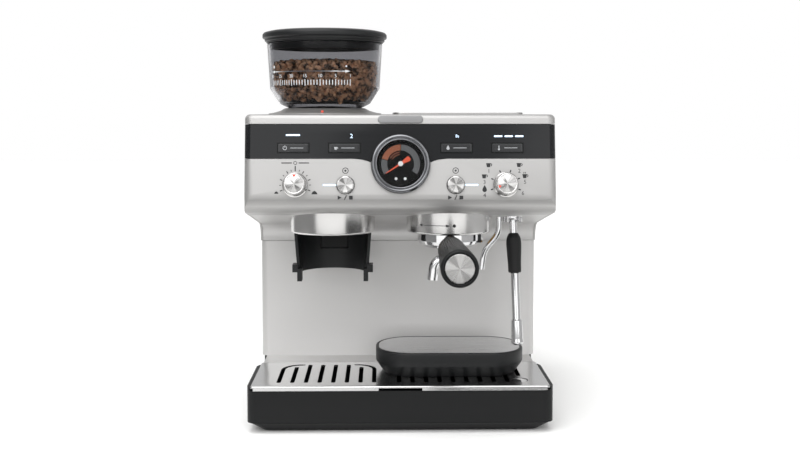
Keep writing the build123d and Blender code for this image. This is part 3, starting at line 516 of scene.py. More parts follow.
def round_rect(w: float, h: float, r: float, k: int = 7) -> Array:
    """Rounded rectangle: four quarter circles about corner centres, joined by straight sides.

    Args:
        w: Full width.
        h: Full height.
        r: Corner radius.
        k: Points per corner.

    Returns:
        Points anticlockwise.
    """
    r = min(r, 0.499 * min(w, h))
    quarter = np.arange(4)[:, None] * TAU / 4
    angle = quarter + np.linspace(0, TAU / 4, k)[None]
    cx = np.sign(np.cos(quarter + TAU / 8)) * (w / 2 - r)
    cy = np.sign(np.sin(quarter + TAU / 8)) * (h / 2 - r)
    return np.stack([cx + r * np.cos(angle), cy + r * np.sin(angle)], -1).reshape(-1, 2)


def raised(outline: Array, low: float, high: float) -> Array:
    """Two rings of an outline, one at each height, as the back and face of a flat mark."""
    o = np.asarray(outline, float)
    return np.stack([np.c_[o, np.full(len(o), z)] for z in (low, high)])


class Skin:
    """Vertices and faces gathered before they become one mesh."""

    def __init__(self) -> None:
        """Start empty."""
        self.points: list[Array] = []
        self.faces: list[list[int]] = []
        self.count = 0

    def put(self, points: Array, faces: Sequence[Sequence[int]]) -> None:
        """Add points and the faces over them.

        Args:
            points: Coordinates in millimetres.
            faces: Indices into these points.
        """
        self.points.append(np.asarray(points, float).reshape(-1, 3))
        self.faces += [[int(i) + self.count for i in face] for face in faces]
        self.count += len(self.points[-1])

    def rings(self, grid: Array, closed: bool = False) -> None:
        """Add a skin over a stack of rings: point (i, j) joins (i, j+1), (i+1, j+1) and (i+1, j).

        Args:
            grid: Rings by points by three.
            closed: Whether the last ring joins the first; otherwise both ends get a flat cap.
        """
        m, n = grid.shape[:2]
        i = np.arange(m if closed else m - 1)[:, None]
        j = np.arange(n)[None, :]
        a, b = i * n + j, i * n + (j + 1) % n
        c, d = ((i + 1) % m) * n + (j + 1) % n, ((i + 1) % m) * n + j
        faces = np.stack([a, b, c, d], -1).reshape(-1, 4).tolist()
        if not closed:
            faces += [list(range(n))[::-1], [(m - 1) * n + k for k in range(n)]]
        self.put(grid.reshape(-1, 3), faces)

    def turn(self, outline: Array, place: Place, n: int = 96, closed: bool = False) -> None:
        """Add a turned shape: each (radius, height) of the outline becomes a circle about the outward axis.

        Args:
            outline: Radii and heights.
            place: Centre and axis.
            n: Points round the axis.
            closed: Whether the outline is a loop, as on a ring.
        """
        o = np.asarray(outline, float)
        c = circle(n)
        flat = np.maximum(o[:, 0], 1e-4)[:, None, None] * c[None]
        lift = np.broadcast_to(o[:, 1][:, None, None], flat.shape[:2] + (1,))
        self.rings(place.at(np.concatenate([flat, lift], -1)), closed)

    def block(self, w: float, h: float, r: float, layers: Sequence, place: Place, k: int = 7) -> None:
        """Add a rounded block: rounded rectangles shrunk by an inset, stacked at heights.

        Args:
            w: Full width.
            h: Full height.
            r: Corner radius.
            layers: Pairs of inset and height.
            place: Middle and directions.
            k: Points per corner.
        """
        rows = [np.c_[round_rect(w - 2 * s, h - 2 * s, max(r - s, 0.02), k), np.full(4 * k, z)]
                for s, z in layers]
        self.rings(place.at(np.stack(rows)))

    def prism(self, outline: Array, low: float, high: float, place: Place) -> None:
        """Add a flat shape with straight sides, such as a printed mark.

        Args:
            outline: Points right and up.
            low: Distance of its back outward of the place.
            high: Distance of its face.
            place: Origin and directions.
        """
        self.rings(place.at(raised(outline, low, high)))

    def pipe(self, path: Array, radius: float, wall: float, n: int = 28) -> None:
        """Add an open pipe: circles carried out along a path square to y, and smaller ones carried back.

        Args:
            path: Points of the centre line in an upright plane facing y.
            radius: Outside radius.
            wall: Thickness.
            n: Points round the pipe.
        """
        c = circle(n)
        side = np.array([0.0, 1.0, 0.0])
        layers = []
        for line, reach, flip in ((path, radius, 1.0), (path[::-1], radius - wall, -1.0)):
            tangent = np.gradient(line, axis=0) * flip
            tangent /= np.linalg.norm(tangent, axis=1)[:, None]
            other = np.cross(tangent, side)
            layers.append(line[:, None] + reach * (c[None, :, :1] * side + c[None, :, 1:] * other[:, None]))
        self.rings(np.concatenate(layers), True)


def bent(points: Sequence, bend: float, k: int = 14) -> Array:
    """Centre line of straight runs joined by quadratic bends.

    Args:
        points: Corners, three coordinates each.
        bend: Distance from a corner to where its bend starts.
        k: Points per bend.

    Returns:
        Points of the line.
    """
    p = np.asarray(points, float)
    before, after = p[:-2] - p[1:-1], p[2:] - p[1:-1]
    reach = [d * (bend / np.linalg.norm(d, axis=1))[:, None] for d in (before, after)]
    curve = corner_curve(p[1:-1] + reach[0], p[1:-1], p[1:-1] + reach[1], k)
    return np.vstack([p[:1], curve.reshape(-1, 3), p[-1:]])


def text_outline(words: str, size: float) -> tuple[Array, list[list[int]]]:
    """Numbers or a sign as a thin closed mesh, centred, in millimetres.

    Args:
        words: Characters to draw.
        size: Height of a capital's em box.

    Returns:
        Points and faces.
    """
    curve = bpy.data.curves.new("figures", "FONT")
    curve.body, curve.size, curve.extrude = words, size, 0.04
    curve.align_x, curve.align_y, curve.resolution_u = "CENTER", "CENTER", 3
    holder = bpy.data.objects.new("figures", curve)
    mesh = bpy.data.meshes.new_from_object(holder)
    points = np.zeros(len(mesh.vertices) * 3)
    mesh.vertices.foreach_get("co", points)
    faces = [list(p.vertices) for p in mesh.polygons]
    bpy.data.objects.remove(holder)
    bpy.data.curves.remove(curve)
    bpy.data.meshes.remove(mesh)
    return points.reshape(-1, 3), faces


def finish_mesh(obj: Object, sharp: float) -> None:
    """Merge doubles, turn faces outward and mark sharp edges.

    Args:
        obj: Piece to finish.
        sharp: Angle in degrees above which an edge stays crisp.
    """
    net = bmesh.new()
    net.from_mesh(obj.data)
    bmesh.ops.remove_doubles(net, verts=net.verts, dist=2e-7)
    bmesh.ops.dissolve_degenerate(net, edges=net.edges, dist=1e-8)
    bmesh.ops.recalc_face_normals(net, faces=net.faces)
    net.to_mesh(obj.data)
    net.free()
    obj.data.shade_smooth()
    obj.data.set_sharp_from_angle(angle=math.radians(sharp))


def make(name: str, skin: Skin, finish: Finish, body: str, replaces: Sequence[str] = (),
         sharp: float = 32.0) -> Object:
    """Turn a gathered skin into a piece that rides on a CAD body.

    Args:
        name: Piece name.
        skin: Its points and faces in millimetres.
        finish: Its finish.
        body: CAD body that carries it.
        replaces: CAD nodes that it stands for.
        sharp: Angle in degrees above which an edge stays crisp.

    Returns:
        The new object.
    """
    mesh = bpy.data.meshes.new(name)
    mesh.from_pydata((np.vstack(skin.points) * MM).tolist(), [], skin.faces)
    mesh.update()
    obj = stand(name, mesh)
    finish_mesh(obj, sharp)
    obj.data.materials.append(finish.material())
    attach(obj, body)
    if replaces:
        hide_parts(*replaces)
    return obj


def dress(node: str, finish: Finish) -> None:
    """Give every material slot of a CAD node one finish.

    Args:
        node: CAD node.
        finish: Its finish.
    """
    data = frame["nodes"][node].data
    for i in range(len(data.materials)):
        data.materials[i] = finish.material()


def soften(node: str, finish: Finish, width: float = 0.4, sharp: float = 28.0) -> Object:
    """Stand a copy of a CAD node in its place with merged faces and small rounded edges.

    Args:
        node: CAD node to copy.
        finish: Finish of the copy.
        width: Width of the rounding in millimetres.
        sharp: Edges above this angle in degrees are rounded.

    Returns:
        The softened piece.
    """
    source = frame["nodes"][node]
    obj = stand(node + "_soft", source.data.copy())
    net = bmesh.new()
    net.from_mesh(obj.data)
    bmesh.ops.remove_doubles(net, verts=net.verts, dist=2e-6)
    bmesh.ops.dissolve_limit(net, angle_limit=math.radians(0.6), verts=net.verts, edges=net.edges)
    net.to_mesh(obj.data)
    net.free()
    obj.data.shade_smooth()
    obj.data.set_sharp_from_angle(angle=math.radians(sharp))
    obj.data.materials.clear()
    obj.data.materials.append(finish.material())
    bevel = obj.modifiers.new("edges", "BEVEL")
    bevel.width, bevel.segments, bevel.limit_method = width * MM, 2, "ANGLE"
    bevel.angle_limit = math.radians(sharp)
    bevel.harden_normals = True
    bevel.miter_outer = "MITER_ARC"
    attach(obj, source["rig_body"])
    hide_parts(node)
    return obj


SLOT_OF: dict[str, str] = {p["node"]: p["material_slot"] for p in frame["record"]["subparts"]}


# ---- studio ----
@dataclass
class Studio:
    """Camera, lights, floor, and the cards that only reflections see and that give metal its contrast.

    Attributes:
        eye: Camera position.
        tilt: Degrees below the horizon.
        pan: Degrees to the right.
        lens: Focal length on a 36 mm wide sensor.
        shift: Lens shift, across and up.
    """

    eye: tuple[float, float, float] = (-18.7, -1133.7, 321.8)
    tilt: float = 3.6
    pan: float = 1.0
    lens: float = 47.3
    shift: tuple[float, float] = (0.0, -0.066)

    def camera(self) -> None:
        """Place the camera and make it the scene's own."""
        data = bpy.data.cameras.new("camera")
        data.lens, data.sensor_width = self.lens, 36.0
        data.shift_x, data.shift_y = self.shift
        data.clip_start, data.clip_end = 0.01, 50.0
        obj = stand("camera", data)
        obj.location = Vector(self.eye) * MM
        obj.rotation_euler = (math.radians(90 - self.tilt), 0, math.radians(-self.pan))
        bpy.context.scene.camera = obj

    def panel(self, name: str, at: Sequence[float], aim: Sequence[float], size: tuple[float, float],
              power: float) -> None:
        """Hang a soft rectangular light.

        Args:
            name: Name of the light.
            at: Its place in metres.
            aim: Point that it faces, in metres.
            size: Width and height in metres.
            power: Watts.
        """
        data = bpy.data.lights.new(name, "AREA")
        data.shape, data.size, data.size_y, data.energy = "RECTANGLE", size[0], size[1], power
        obj = stand(name, data)
        obj.location = at
        obj.rotation_euler = (Vector(aim) - Vector(at)).to_track_quat("-Z", "Y").to_euler()

    def card(self, name: str, corners: Array, grey: str, seen: bool) -> None:
        """Stand a flat card near the object, as a floor or a flag.

        Args:
            name: Name of the card.
            corners: Four corners in metres.
            grey: sRGB hex of its paint.
            seen: Whether it is a real surface; a card that isn't only shows in glossy reflections.
        """
        mesh = bpy.data.meshes.new(name)
        mesh.from_pydata(np.asarray(corners).tolist(), [], [[0, 1, 2, 3]])
        obj = stand(name, mesh)
        paint = bpy.data.materials.new(name)
        paint.use_nodes = True
        shader = paint.node_tree.nodes["Principled BSDF"]
        shader.inputs["Base Color"].default_value = linear(grey)
        shader.inputs["Roughness"].default_value = 0.9
        mesh.materials.append(paint)
        if not seen:
            obj.visible_camera = obj.visible_diffuse = obj.visible_shadow = False

    def surround(self) -> None:
        """White backdrop for the eye, and a dimmer surround that darkens downward and to the sides."""
        world = bpy.data.worlds.new("studio")
        bpy.context.scene.world = world
        world.use_nodes = True
        tree = world.node_tree
        tree.nodes.clear()
        place = add(tree, "ShaderNodeTexCoord")
        parts = add(tree, "ShaderNodeSeparateXYZ", links={0: place.outputs["Generated"]})
        rise = add(tree, "ShaderNodeMapRange", {"From Min": -0.1, "From Max": 0.95, "To Min": 0.34,
                                                "To Max": 0.70}, {0: parts.outputs["Z"]})
        above = add(tree, "ShaderNodeMapRange", {"From Min": 0.05, "From Max": 0.8, "To Min": 0.62,
                                                 "To Max": 0.92}, {0: parts.outputs["Z"]})
        depth = add(tree, "ShaderNodeMath", links={0: parts.outputs["Y"]}, operation="ABSOLUTE")
        flank = add(tree, "ShaderNodeMapRange", {"From Min": 0.05, "From Max": 0.75, "To Min": 0.32,
                                                 "To Max": 1.0}, {0: depth.outputs[0]})
        shaped = add(tree, "ShaderNodeMath", links={0: above.outputs[0], 1: flank.outputs[0]},
                     operation="MULTIPLY")
        ray = add(tree, "ShaderNodeLightPath")
        dull = add(tree, "ShaderNodeMix", links={0: ray.outputs["Is Glossy Ray"], 2: rise.outputs[0],
                                                 3: shaped.outputs[0]})
        level = add(tree, "ShaderNodeMix", {3: 1.0}, {0: ray.outputs["Is Camera Ray"], 2: dull.outputs[0]})
        glow = add(tree, "ShaderNodeBackground", {"Color": linear("ffffff")}, {"Strength": level.outputs[0]})
        add(tree, "ShaderNodeOutputWorld", links={0: glow.outputs[0]})

    def build(self) -> None:
        """Set up camera, floor, surround and lights."""
        self.camera()
        self.card("floor", np.array([(-6, -6, 0), (6, -6, 0), (6, 6, 0), (-6, 6, 0)]), "fdfdfc", True)
        self.card("flag_low", np.array([(-2.5, -0.75, 0.004), (2.5, -0.75, 0.004), (2.5, -0.28, 0.004),
                                        (-2.5, -0.28, 0.004)]), "1a1a1a", False)
        for name, x, grey in (("flag_left", -0.75, "8a8a8a"), ("flag_right", 0.75, "b0b0b0")):
            corners = np.array([(x, -0.75, 0.0), (x, 0.5, 0.0), (x, 0.5, 0.6), (x, -0.75, 0.6)])
            self.card(name, corners, grey, False)
        self.surround()
        data = bpy.data.lights.new("sky", "SUN")
        data.energy, data.angle = 1.9, math.radians(70)
        stand("sky", data).rotation_euler = (math.radians(28), math.radians(-18), 0)
        self.panel("key", (-0.9, -2.1, 1.3), (0, 0, 0.22), (1.7, 1.7), 9.5)
        self.panel("fill", (1.1, -2.1, 1.3), (0, 0, 0.22), (1.6, 1.7), 9)
        self.panel("edge", (1.9, -0.7, 0.9), (0, 0, 0.25), (0.5, 1.4), 4)
        self.panel("top", (-0.2, -0.2, 1.9), (0, 0, 0.3), (1.4, 1.0), 6)
        bpy.context.scene.view_settings.view_transform = "Standard"


# ---- casing ----
@dataclass
class Casing:
    """Head, tower and base of the machine.

    Attributes:
        badge: Width and height of the blank nameplate.
        badge_z: Height of its middle.
    """

    badge: tuple[float, float] = (45.0, 7.6)
    badge_z: float = 316.0

    def build(self) -> None:
        """Dress every CAD node, soften the outer panels and add the nameplate."""
        for node, name in SLOT_OF.items():
            dress(node, SLOT_FINISHES[name])
        # The base pan takes the darker ABS as painted shade on its down-facing chamfer.
        dress("base_pan", DARKER_ABS_WITH_SHADE)
        for node in ("front_panel", "top_cover", "side_panel_left", "side_panel_right", "control_band"):
            soften(node, SLOT_FINISHES[SLOT_OF[node]], 0.35)
        # The splash wall and underside take the lightened paint as painted light against the shade under the
        # head.
        for node in ("back_wall", "under_panel"):
            soften(node, LIGHTENED_PAINT, 0.1)
        plate = Skin()
        w, h = self.badge
        layers = [(0.3, 0.05), (0, 0.35), (0, 0.9), (0.4, 1.2), (1.2, 1.25)]
        plate.block(w, h, 3.8, layers, front(0, self.badge_z))
        make("nameplate", plate, BADGE, "housing")


# ---- pressure gauge ----
@dataclass
class Gauge:
    """Round gauge with a chrome ring, printed arcs and a red needle.

    Attributes:
        z: Height of its centre.
        radius: Outside of the ring.
        dial: Radius of the visible dial.
        dial_z: Height of the dial's face above the panel.
        band: Middle radius and width of the wide arcs.
        grey_spans: First and last angle of each grey arc.
        range_span: First and last angle of the orange working range.
        thin_arcs: Middle radii of the two thin arcs.
    """

    z: float = 272.0
    radius: float = 29.6
    dial: float = 23.3
    dial_z: float = 1.5
    band: tuple[float, float] = (16.25, 5.9)
    grey_spans: tuple = ((212, 166), (88, -32))
    range_span: tuple[float, float] = (164, 90)
    thin_arcs: tuple[float, float] = (9.35, 11.55)

    def bezel(self) -> None:
        """Chrome ring: a rounded rim, a falling middle and a raised inner lip."""
        r, d = self.radius, self.dial
        outline = [(d, 1.6), (d + 2.3, 1.6), (d + 2.3, 0.1), (r - 1, 0.1), (r, 0.9), (r, 3.4), (r - 0.9, 5.8),
                   (r - 2.4, 6.6), (r - 3.6, 6.2), (d + 1.9, 4.8), (d + 1.3, 5.9), (d + 0.5, 5.9), (d, 5.2)]
        ring = Skin()
        ring.turn(rounded(outline, 0.8, 4, True), front(0, self.z), 160, True)
        # The bezel's darker chrome is painted shade for its dark reflections.
        make("bezel", ring, SHADED_CHROME, "housing", ["gauge_bezel"], 60)

    def marks(self) -> None:
        """Grey arc, orange working range, two thin arcs and two dots, printed on the dial."""
        place = front(0, self.z)
        grey, orange, white = Skin(), Skin(), Skin()
        for start, stop in self.grey_spans:
            grey.prism(ring_outline(*self.band, start, stop, 48), self.dial_z, self.dial_z + 0.06, place)
        orange.prism(ring_outline(*self.band, *self.range_span, 48), self.dial_z, self.dial_z + 0.06, place)
        for reach in self.thin_arcs:
            orange.prism(ring_outline(reach, 0.7, 152, 95, 48), self.dial_z, self.dial_z + 0.06, place)
        for x in (-4.5, 4.5):
            dot = circle(20) * 1.4 + np.array([x, -14.7])
            white.prism(dot, self.dial_z, self.dial_z + 0.07, place)
        make("dial_grey_arc", grey, INK_ARC, "housing")
        make("dial_range", orange, INK_ORANGE, "housing")
        make("dial_dots", white, INK_WHITE, "housing")

    def build(self) -> None:
        """Make the ring and marks, and cap the needle's hub."""
        self.bezel()
        self.marks()
        hub = Skin()
        hub.turn([(0, 3.3), (2.5, 3.3), (2.5, 3.42), (1.9, 3.62), (0, 3.65)], front(0, self.z), 40)
        make("needle_hub", hub, INK_WHITE, "needle")


# ---- controls ----
class Sign(Enum):
    """Signs printed on the controls, by what they show."""

    POWER = "power"
    CUP = "cup"
    DROP = "drop"
    HEAT = "heat"
    STEAM = "steam"
    BEAN = "bean"
    HEAP = "heap"
    DOT = "dot"


def ring_outline(r: float, w: float, start: float = 0.0, stop: float = 360.0, n: int = 28) -> Array:
    """Outline of an arc-shaped stroke.

    Args:
        r: Radius of its middle.
        w: Width of the stroke.
        start: First angle in degrees.
        stop: Last angle.
        n: Points on each side.

    Returns:
        Points right and up.
    """
    a = np.radians(np.linspace(start, stop - (0.5 if stop - start >= 360 else 0), n))
    ray = np.stack([np.cos(a), np.sin(a)], -1)
    return np.vstack([(r + w / 2) * ray, (r - w / 2) * ray[::-1]])


def bar(x0: float, y0: float, x1: float, y1: float, w: float) -> Array:
    """Outline of a straight stroke: its two ends moved to each side by half its width.

    Args:
        x0: First end, to the right.
        y0: First end, up.
        x1: Second end, to the right.
        y1: Second end, up.
        w: Width of the stroke.

    Returns:
        Four points right and up.
    """
    a, b = np.array([x0, y0]), np.array([x1, y1])
    side = np.array([-(b - a)[1], (b - a)[0]]) / np.linalg.norm(b - a) * w / 2
    return np.array([a - side, b - side, b + side, a + side])


def sign_outlines(kind: Sign, s: float) -> list[Array]:
    """Strokes of a sign, drawn within a square s across about the origin.

    Args:
        kind: Which sign.
        s: Its size.

    Returns:
        Outlines in points right and up.
    """
    w = 0.13 * s
    drop = circle(24) * 0.30 * s
    drop[:, 1] += np.where(drop[:, 1] > 0, drop[:, 1] * 1.1 * (1 - np.abs(drop[:, 0]) / (0.3 * s)), 0)
    cup = np.array([(-0.36, 0.2), (-0.26, -0.34), (0.16, -0.34), (0.26, 0.2)]) * s
    handle = ring_outline(0.15 * s, w * 0.8, -80, 80, 12) + np.array([0.24 * s, -0.02 * s])
    waves = [bar(x * s, 0.28 * s, (x + 0.06) * s, 0.5 * s, w * 0.7) for x in (-0.18, 0.04)]
    shapes = {
        Sign.POWER: [ring_outline(0.36 * s, w, 120, 420), bar(0, 0.08 * s, 0, 0.5 * s, w)],
        Sign.CUP: [cup[::-1], handle],
        Sign.DROP: [drop - np.array([0, 0.1 * s])],
        Sign.HEAT: [bar(0, -0.2 * s, 0, 0.45 * s, w * 1.4), circle(18) * 0.2 * s - np.array([0, 0.28 * s])],
        Sign.STEAM: [cup[::-1], handle] + waves,
        Sign.BEAN: [ring_outline(0.34 * s, w, 40, 230), ring_outline(0.34 * s, w, 240, 390)],
        Sign.HEAP: [np.array([(-0.5, -0.3), (0.5, -0.3), (0.28, 0.08), (0, 0.24), (-0.28, 0.08)]) * s],
        Sign.DOT: [circle(18) * 0.16 * s, ring_outline(0.42 * s, w * 0.8)],
    }
    return shapes[kind]


def double_arrow(reach: float, head: float, w: float, n: int) -> list[Array]:
    """Outlines of a line with an arrow head at both ends.

    Args:
        reach: Distance from the middle to each tip.
        head: Length of a head.
        w: Width of the line.
        n: Points along the line, which let it wrap round a wall.

    Returns:
        The line and both heads in points right and up.
    """
    neck = reach - head
    steps = np.linspace(-neck, neck, n)
    line = np.vstack([np.c_[steps, np.full(n, -w / 2)], np.c_[steps[::-1], np.full(n, w / 2)]])
    return [line] + [np.array([(s * neck, -1.5), (s * reach, 0), (s * neck, 1.5)])[::s] for s in (-1, 1)]


KEYS: dict[str, tuple[float, Sign]] = {
    "power": (-106.0, Sign.POWER), "cups": (-55.5, Sign.CUP), "infusion": (55.5, Sign.DROP),
    "temperature": (106.0, Sign.HEAT),
}


@dataclass
class Prints:
    """Printed marks of one colour, gathered into one thin piece.

    Attributes:
        name: Piece name.
        finish: Ink.
        body: Body that carries them.
        slot: Material slot; not used.
        low: Distance of their back from the surface.
        high: Distance of their face from the surface.
    """

    name: str
    finish: Finish
    body: str = "housing"
    slot: str = "brushed_steel"
    low: float = -0.02
    high: float = 0.05

    def __post_init__(self) -> None:
        """Start with an empty skin."""
        self.skin = Skin()

    def outline(self, place: Place, *outlines: Array) -> None:
        """Add outlines at a place."""
        for o in outlines:
            self.skin.prism(o, self.low, self.high, place)

    def sign(self, place: Place, kind: Sign, size: float) -> None:
        """Add a sign at a place."""
        self.outline(place, *sign_outlines(kind, size))

    def figures(self, place: Place, words: str, size: float) -> None:
        """Add numbers at a place.

        Args:
            place: Where their middle is.
            words: The characters.
            size: Their height.
        """
        points, faces = text_outline(words, size)
        self.skin.put(place.at(points + np.array([0, 0, self.high - 0.04])), faces)

    def build(self) -> Object:
        """Make the piece."""
        return make(self.name, self.skin, self.finish, self.body)


@dataclass
class Controls:
    """Knobs, buttons, lit displays and printed scales of the leaning front.

    Attributes:
        knob_x: Distance of both knobs from the middle.
        knob_z: Height of knobs and round buttons.
        knob_radius: Radius of a knob's grip.
        knob_height: Height of a knob's face above the panel.
        round_x: Distance of both round buttons from the middle.
        round_radius: Radius of a round button.
        key_size: Width and height of a band button.
        key_z: Height of the band buttons.
        display_z: Height of the displays on the band.
    """

    knob_x: float = 104.0
    knob_z: float = 251.5
    knob_radius: float = 10.8
    knob_height: float = 15.0
    round_x: float = 54.5
    round_radius: float = 8.75
    key_size: tuple[float, float] = (30.5, 8.8)
    key_z: float = 287.8
    display_z: float = 299.4

    def knob(self, x: float, node: str, body: str, pointer: float) -> None:
        """Turned knob: skirt, straight grip, rounded face edge; a turned face and a red pointer.

        Args:
            x: Its distance from the middle.
            node: CAD node that it stands for.
            body: Body that turns it.
            pointer: Angle of the red pointer in degrees.
        """
        r, h = self.knob_radius, self.knob_height
        place = front(x, self.knob_z)
        grip = Skin()
        outline = [(0, 1.0), (12.6, 1.0), (12.6, 2.2), (r + 0.6, 3.2), (r, 4.6), (r - 0.35, h - 0.9),
                   (r - 0.9, h - 0.1), (r - 1.6, h - 0.05), (r - 1.9, h - 0.25), (0, h - 0.25)]
        grip.turn(rounded(outline, 0.5, 4), place, 120)
        make(body + "_grip", grip, SPUN, body, [node], 50)
        face = Skin()
        disc = [(0, h - 0.6), (r - 1.95, h - 0.6), (r - 1.95, h - 0.22), (r - 2.15, h - 0.1), (0, h - 0.1)]
        face.turn(disc, place)
        # The face's colour carries painted reflection fans.
        make(body + "_face", face, turned_face_painted_fans(body + "_face_fans_painted", place, h, 0.72), body)
        a = math.radians(pointer)
        ray, side = np.array([math.cos(a), math.sin(a)]), np.array([-math.sin(a), math.cos(a)])
        tip, foot = ray * (r - 4.6), ray * (r - 1.9)
        mark = Skin()
        mark.prism(np.array([tip, foot - side * 1.7, foot + side * 1.7])[::-1], h - 0.2, h, place)
        make(body + "_pointer", mark, PAINT_RED, body)

    def round_button(self, x: float, node: str, body: str) -> None:
        """Round button: straight side, rounded edge and slightly dished face.

        Args:
            x: Its distance from the middle.
            node: CAD node that it stands for.
            body: Body that moves it.
        """
        r = self.round_radius
        place = front(x, self.knob_z)
        skin = Skin()
        skin.turn(rounded([(0, -3.5), (r, -3.5), (r, 3.1), (r - 1.0, 4.0), (r - 3, 3.8), (0, 3.5)], 0.7, 5),
                  place, 96)
        # The cap's colour carries painted reflection fans.
        make(body + "_cap", skin, turned_face_painted_fans(body + "_fans_painted", place, 3.6), body, [node], 50)

    def band_key(self, x: float, node: str, body: str) -> None:
        """Flush key: a rounded block with a soft edge.

        Args:
            x: Its distance from the middle.
            node: CAD node that it stands for.
            body: Body that moves it.
        """
        w, h = self.key_size
        skin = Skin()
        skin.block(w, h, 1.0, [(0, -3.5), (0, 0.0), (0.25, 0.3), (0.7, 0.38), (3.0, 0.30)],
                   front(x, self.key_z))
        make(body + "_cap", skin, GLOSS_KEY, body, [node], 20)

    def dose_scale(self, ink: Prints) -> None:
        """Ticks round the dose knob, a bean between two lines over it, a small heap and a large one.

        Args:
            ink: Piece that gathers the marks.
        """
        x, z = -self.knob_x, self.knob_z
        for a in (202, 160, 122, 58, 20, -21):
            ink.outline(front(x, z), self.ray(13.4, 16.0, a, 0.95))
        for a in (181, 141, 106, 74, 39, 0):
            ink.outline(front(x, z), self.ray(13.8, 15.6, a, 0.7))
        ink.outline(front(x, z), self.ray(13.6, 19.0, 90, 1.1))
        title_z = z + 21.6
        ink.sign(front(x, title_z), Sign.BEAN, 4.6)
        for side in (-1, 1):
            ink.outline(front(x + side * 8.5, title_z), bar(-5.2, 0, 5.2, 0, 1.0))
        ink.sign(front(x - 18.5, z - 7.2), Sign.HEAP, 4.4)
        ink.sign(front(x + 19.0, z - 7.2), Sign.HEAP, 6.4)

    def mode_scale(self, ink: Prints) -> None:
        """Ticks round the mode knob, and a sign with its number at each stop.

        Args:
            ink: Piece that gathers the marks.
        """
        x, z = self.knob_x, self.knob_z
        for u, v in ((-5.4, 13.0), (4.7, 13.2), (-12.8, 5.6), (12.2, 5.8), (12.2, -4.2), (-12.6, -4.2)):
            ink.outline(front(x, z), self.ray(13.2, 15.6, math.degrees(math.atan2(v, u)), 1.2))
        stops = ((-16.6, 19.8, Sign.CUP), (13.6, 19.9, Sign.CUP), (-21.0, 8.8, Sign.CUP),
                 (-21.0, -4.2, Sign.DROP), (19.2, 9.0, Sign.STEAM))
        for i, (u, v, kind) in enumerate(stops):
            ink.sign(front(x + u, z + v), kind, 7.4)
            ink.figures(front(x + u, z + v - 6.3), str(i + 1), 5.6)
        ink.figures(front(x + 16.9, z - 8.3), "6", 5.6)

    def button_marks(self, ink: Prints) -> None:
        """A dot in a ring over each round button; a triangle, a stroke and a square under it.

        Args:
            ink: Piece that gathers the marks.
        """
        triangle = np.array([(-7.6, -2.0), (-3.8, 0), (-7.6, 2.0)])
        square = round_rect(3.6, 3.6, 0.2, 2) + np.array([5.4, 0.0])
        for side in (-1, 1):
            x = side * self.round_x
            ink.sign(front(x, self.knob_z + 14.0), Sign.DOT, 6.6)
            ink.outline(front(x, self.knob_z - 12.4), triangle, bar(-1.0, -2.2, 1.0, 2.2, 0.8), square)

    def panel_marks(self) -> None:
        """Everything printed dark on the silver panel."""
        dark = Prints("panel_marks", INK_DARK, "housing", "brushed_steel")
        self.dose_scale(dark)
        self.mode_scale(dark)
        self.button_marks(dark)
        dark.build()

    def key_marks(self) -> None:
        """A thin dark frame round each key of the band, and a sign and a line on the key."""
        w, h = self.key_size
        gap, stroke = 0.75, 0.9
        frames = Prints("key_frames", WINDOW_BLACK, "housing", "gloss_black")
        for name, (x, kind) in KEYS.items():
            for side in (-1, 1):
                u, v = side * (w / 2 + gap), side * (h / 2 + gap)
                frames.outline(front(x, self.key_z), bar(-w / 2 - 1.2, v, w / 2 + 1.2, v, stroke),
                               bar(u, -h / 2 - 0.3, u, h / 2 + 0.3, stroke))
            ink = Prints(name + "_key_sign", INK_GREY, name + "_key", "gloss_black", 0.28, 0.42)
            ink.sign(front(x - 8.4, self.key_z), kind, 5.0)
            ink.outline(front(x + 3.4, self.key_z), bar(-6.5, 0, 6.5, 0, 0.6))
            ink.build()
        frames.build()

    def displays(self) -> None:
        """Lit bars beside the round buttons and on the band, dark windows and lit figures."""
        z = self.display_z
        bars = Prints("lit_bars", LENS, "housing", "lens", -5.0, 0.14)
        for x, height, w in ((-106.5, z + 1.2, 14.0), (97.0, z, 8.2), (107.5, z, 8.2), (118.0, z, 8.2),
                             (-70.4, self.knob_z, 12.8), (70.4, self.knob_z, 12.8)):
            bars.outline(front(x, height), round_rect(w, 1.5, 0.7, 5))
        bars.build()
        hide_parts("indicator_lenses")
        windows = Prints("display_windows", WINDOW_BLACK, "housing", "gloss_black", -5.0, 0.05)
        lit = Prints("lit_figures", LENS, "housing", "lens", 0.0, 0.12)
        for x, w, h, words, size in ((-48.6, 4.9, 6.3, "2", 6.0), (56.4, 6.1, 5.3, "8s", 4.2)):
            windows.outline(front(x, z), round_rect(w, h, 0.8, 4))
            lit.figures(front(x, z), words, size)
        windows.build()
        lit.build()

    def ray(self, near: float, far: float, angle: float, w: float) -> Array:
        """Outline of a tick between two radii at an angle in degrees, w wide."""
        a = math.radians(angle)
        return bar(near * math.cos(a), near * math.sin(a), far * math.cos(a), far * math.sin(a), w)

    def build(self) -> None:
        """Make every control and its marks."""
        self.knob(-self.knob_x, "dose_knob", "dose_dial", 90)
        self.knob(self.knob_x, "mode_knob", "mode_dial", 200)
        self.round_button(-self.round_x, "grind_button", "grind_key")
        self.round_button(self.round_x, "brew_button", "brew_key")
        for name, (x, _) in KEYS.items():
            self.band_key(x, name + "_button", name + "_key")
        self.panel_marks()
        self.displays()
        self.key_marks()


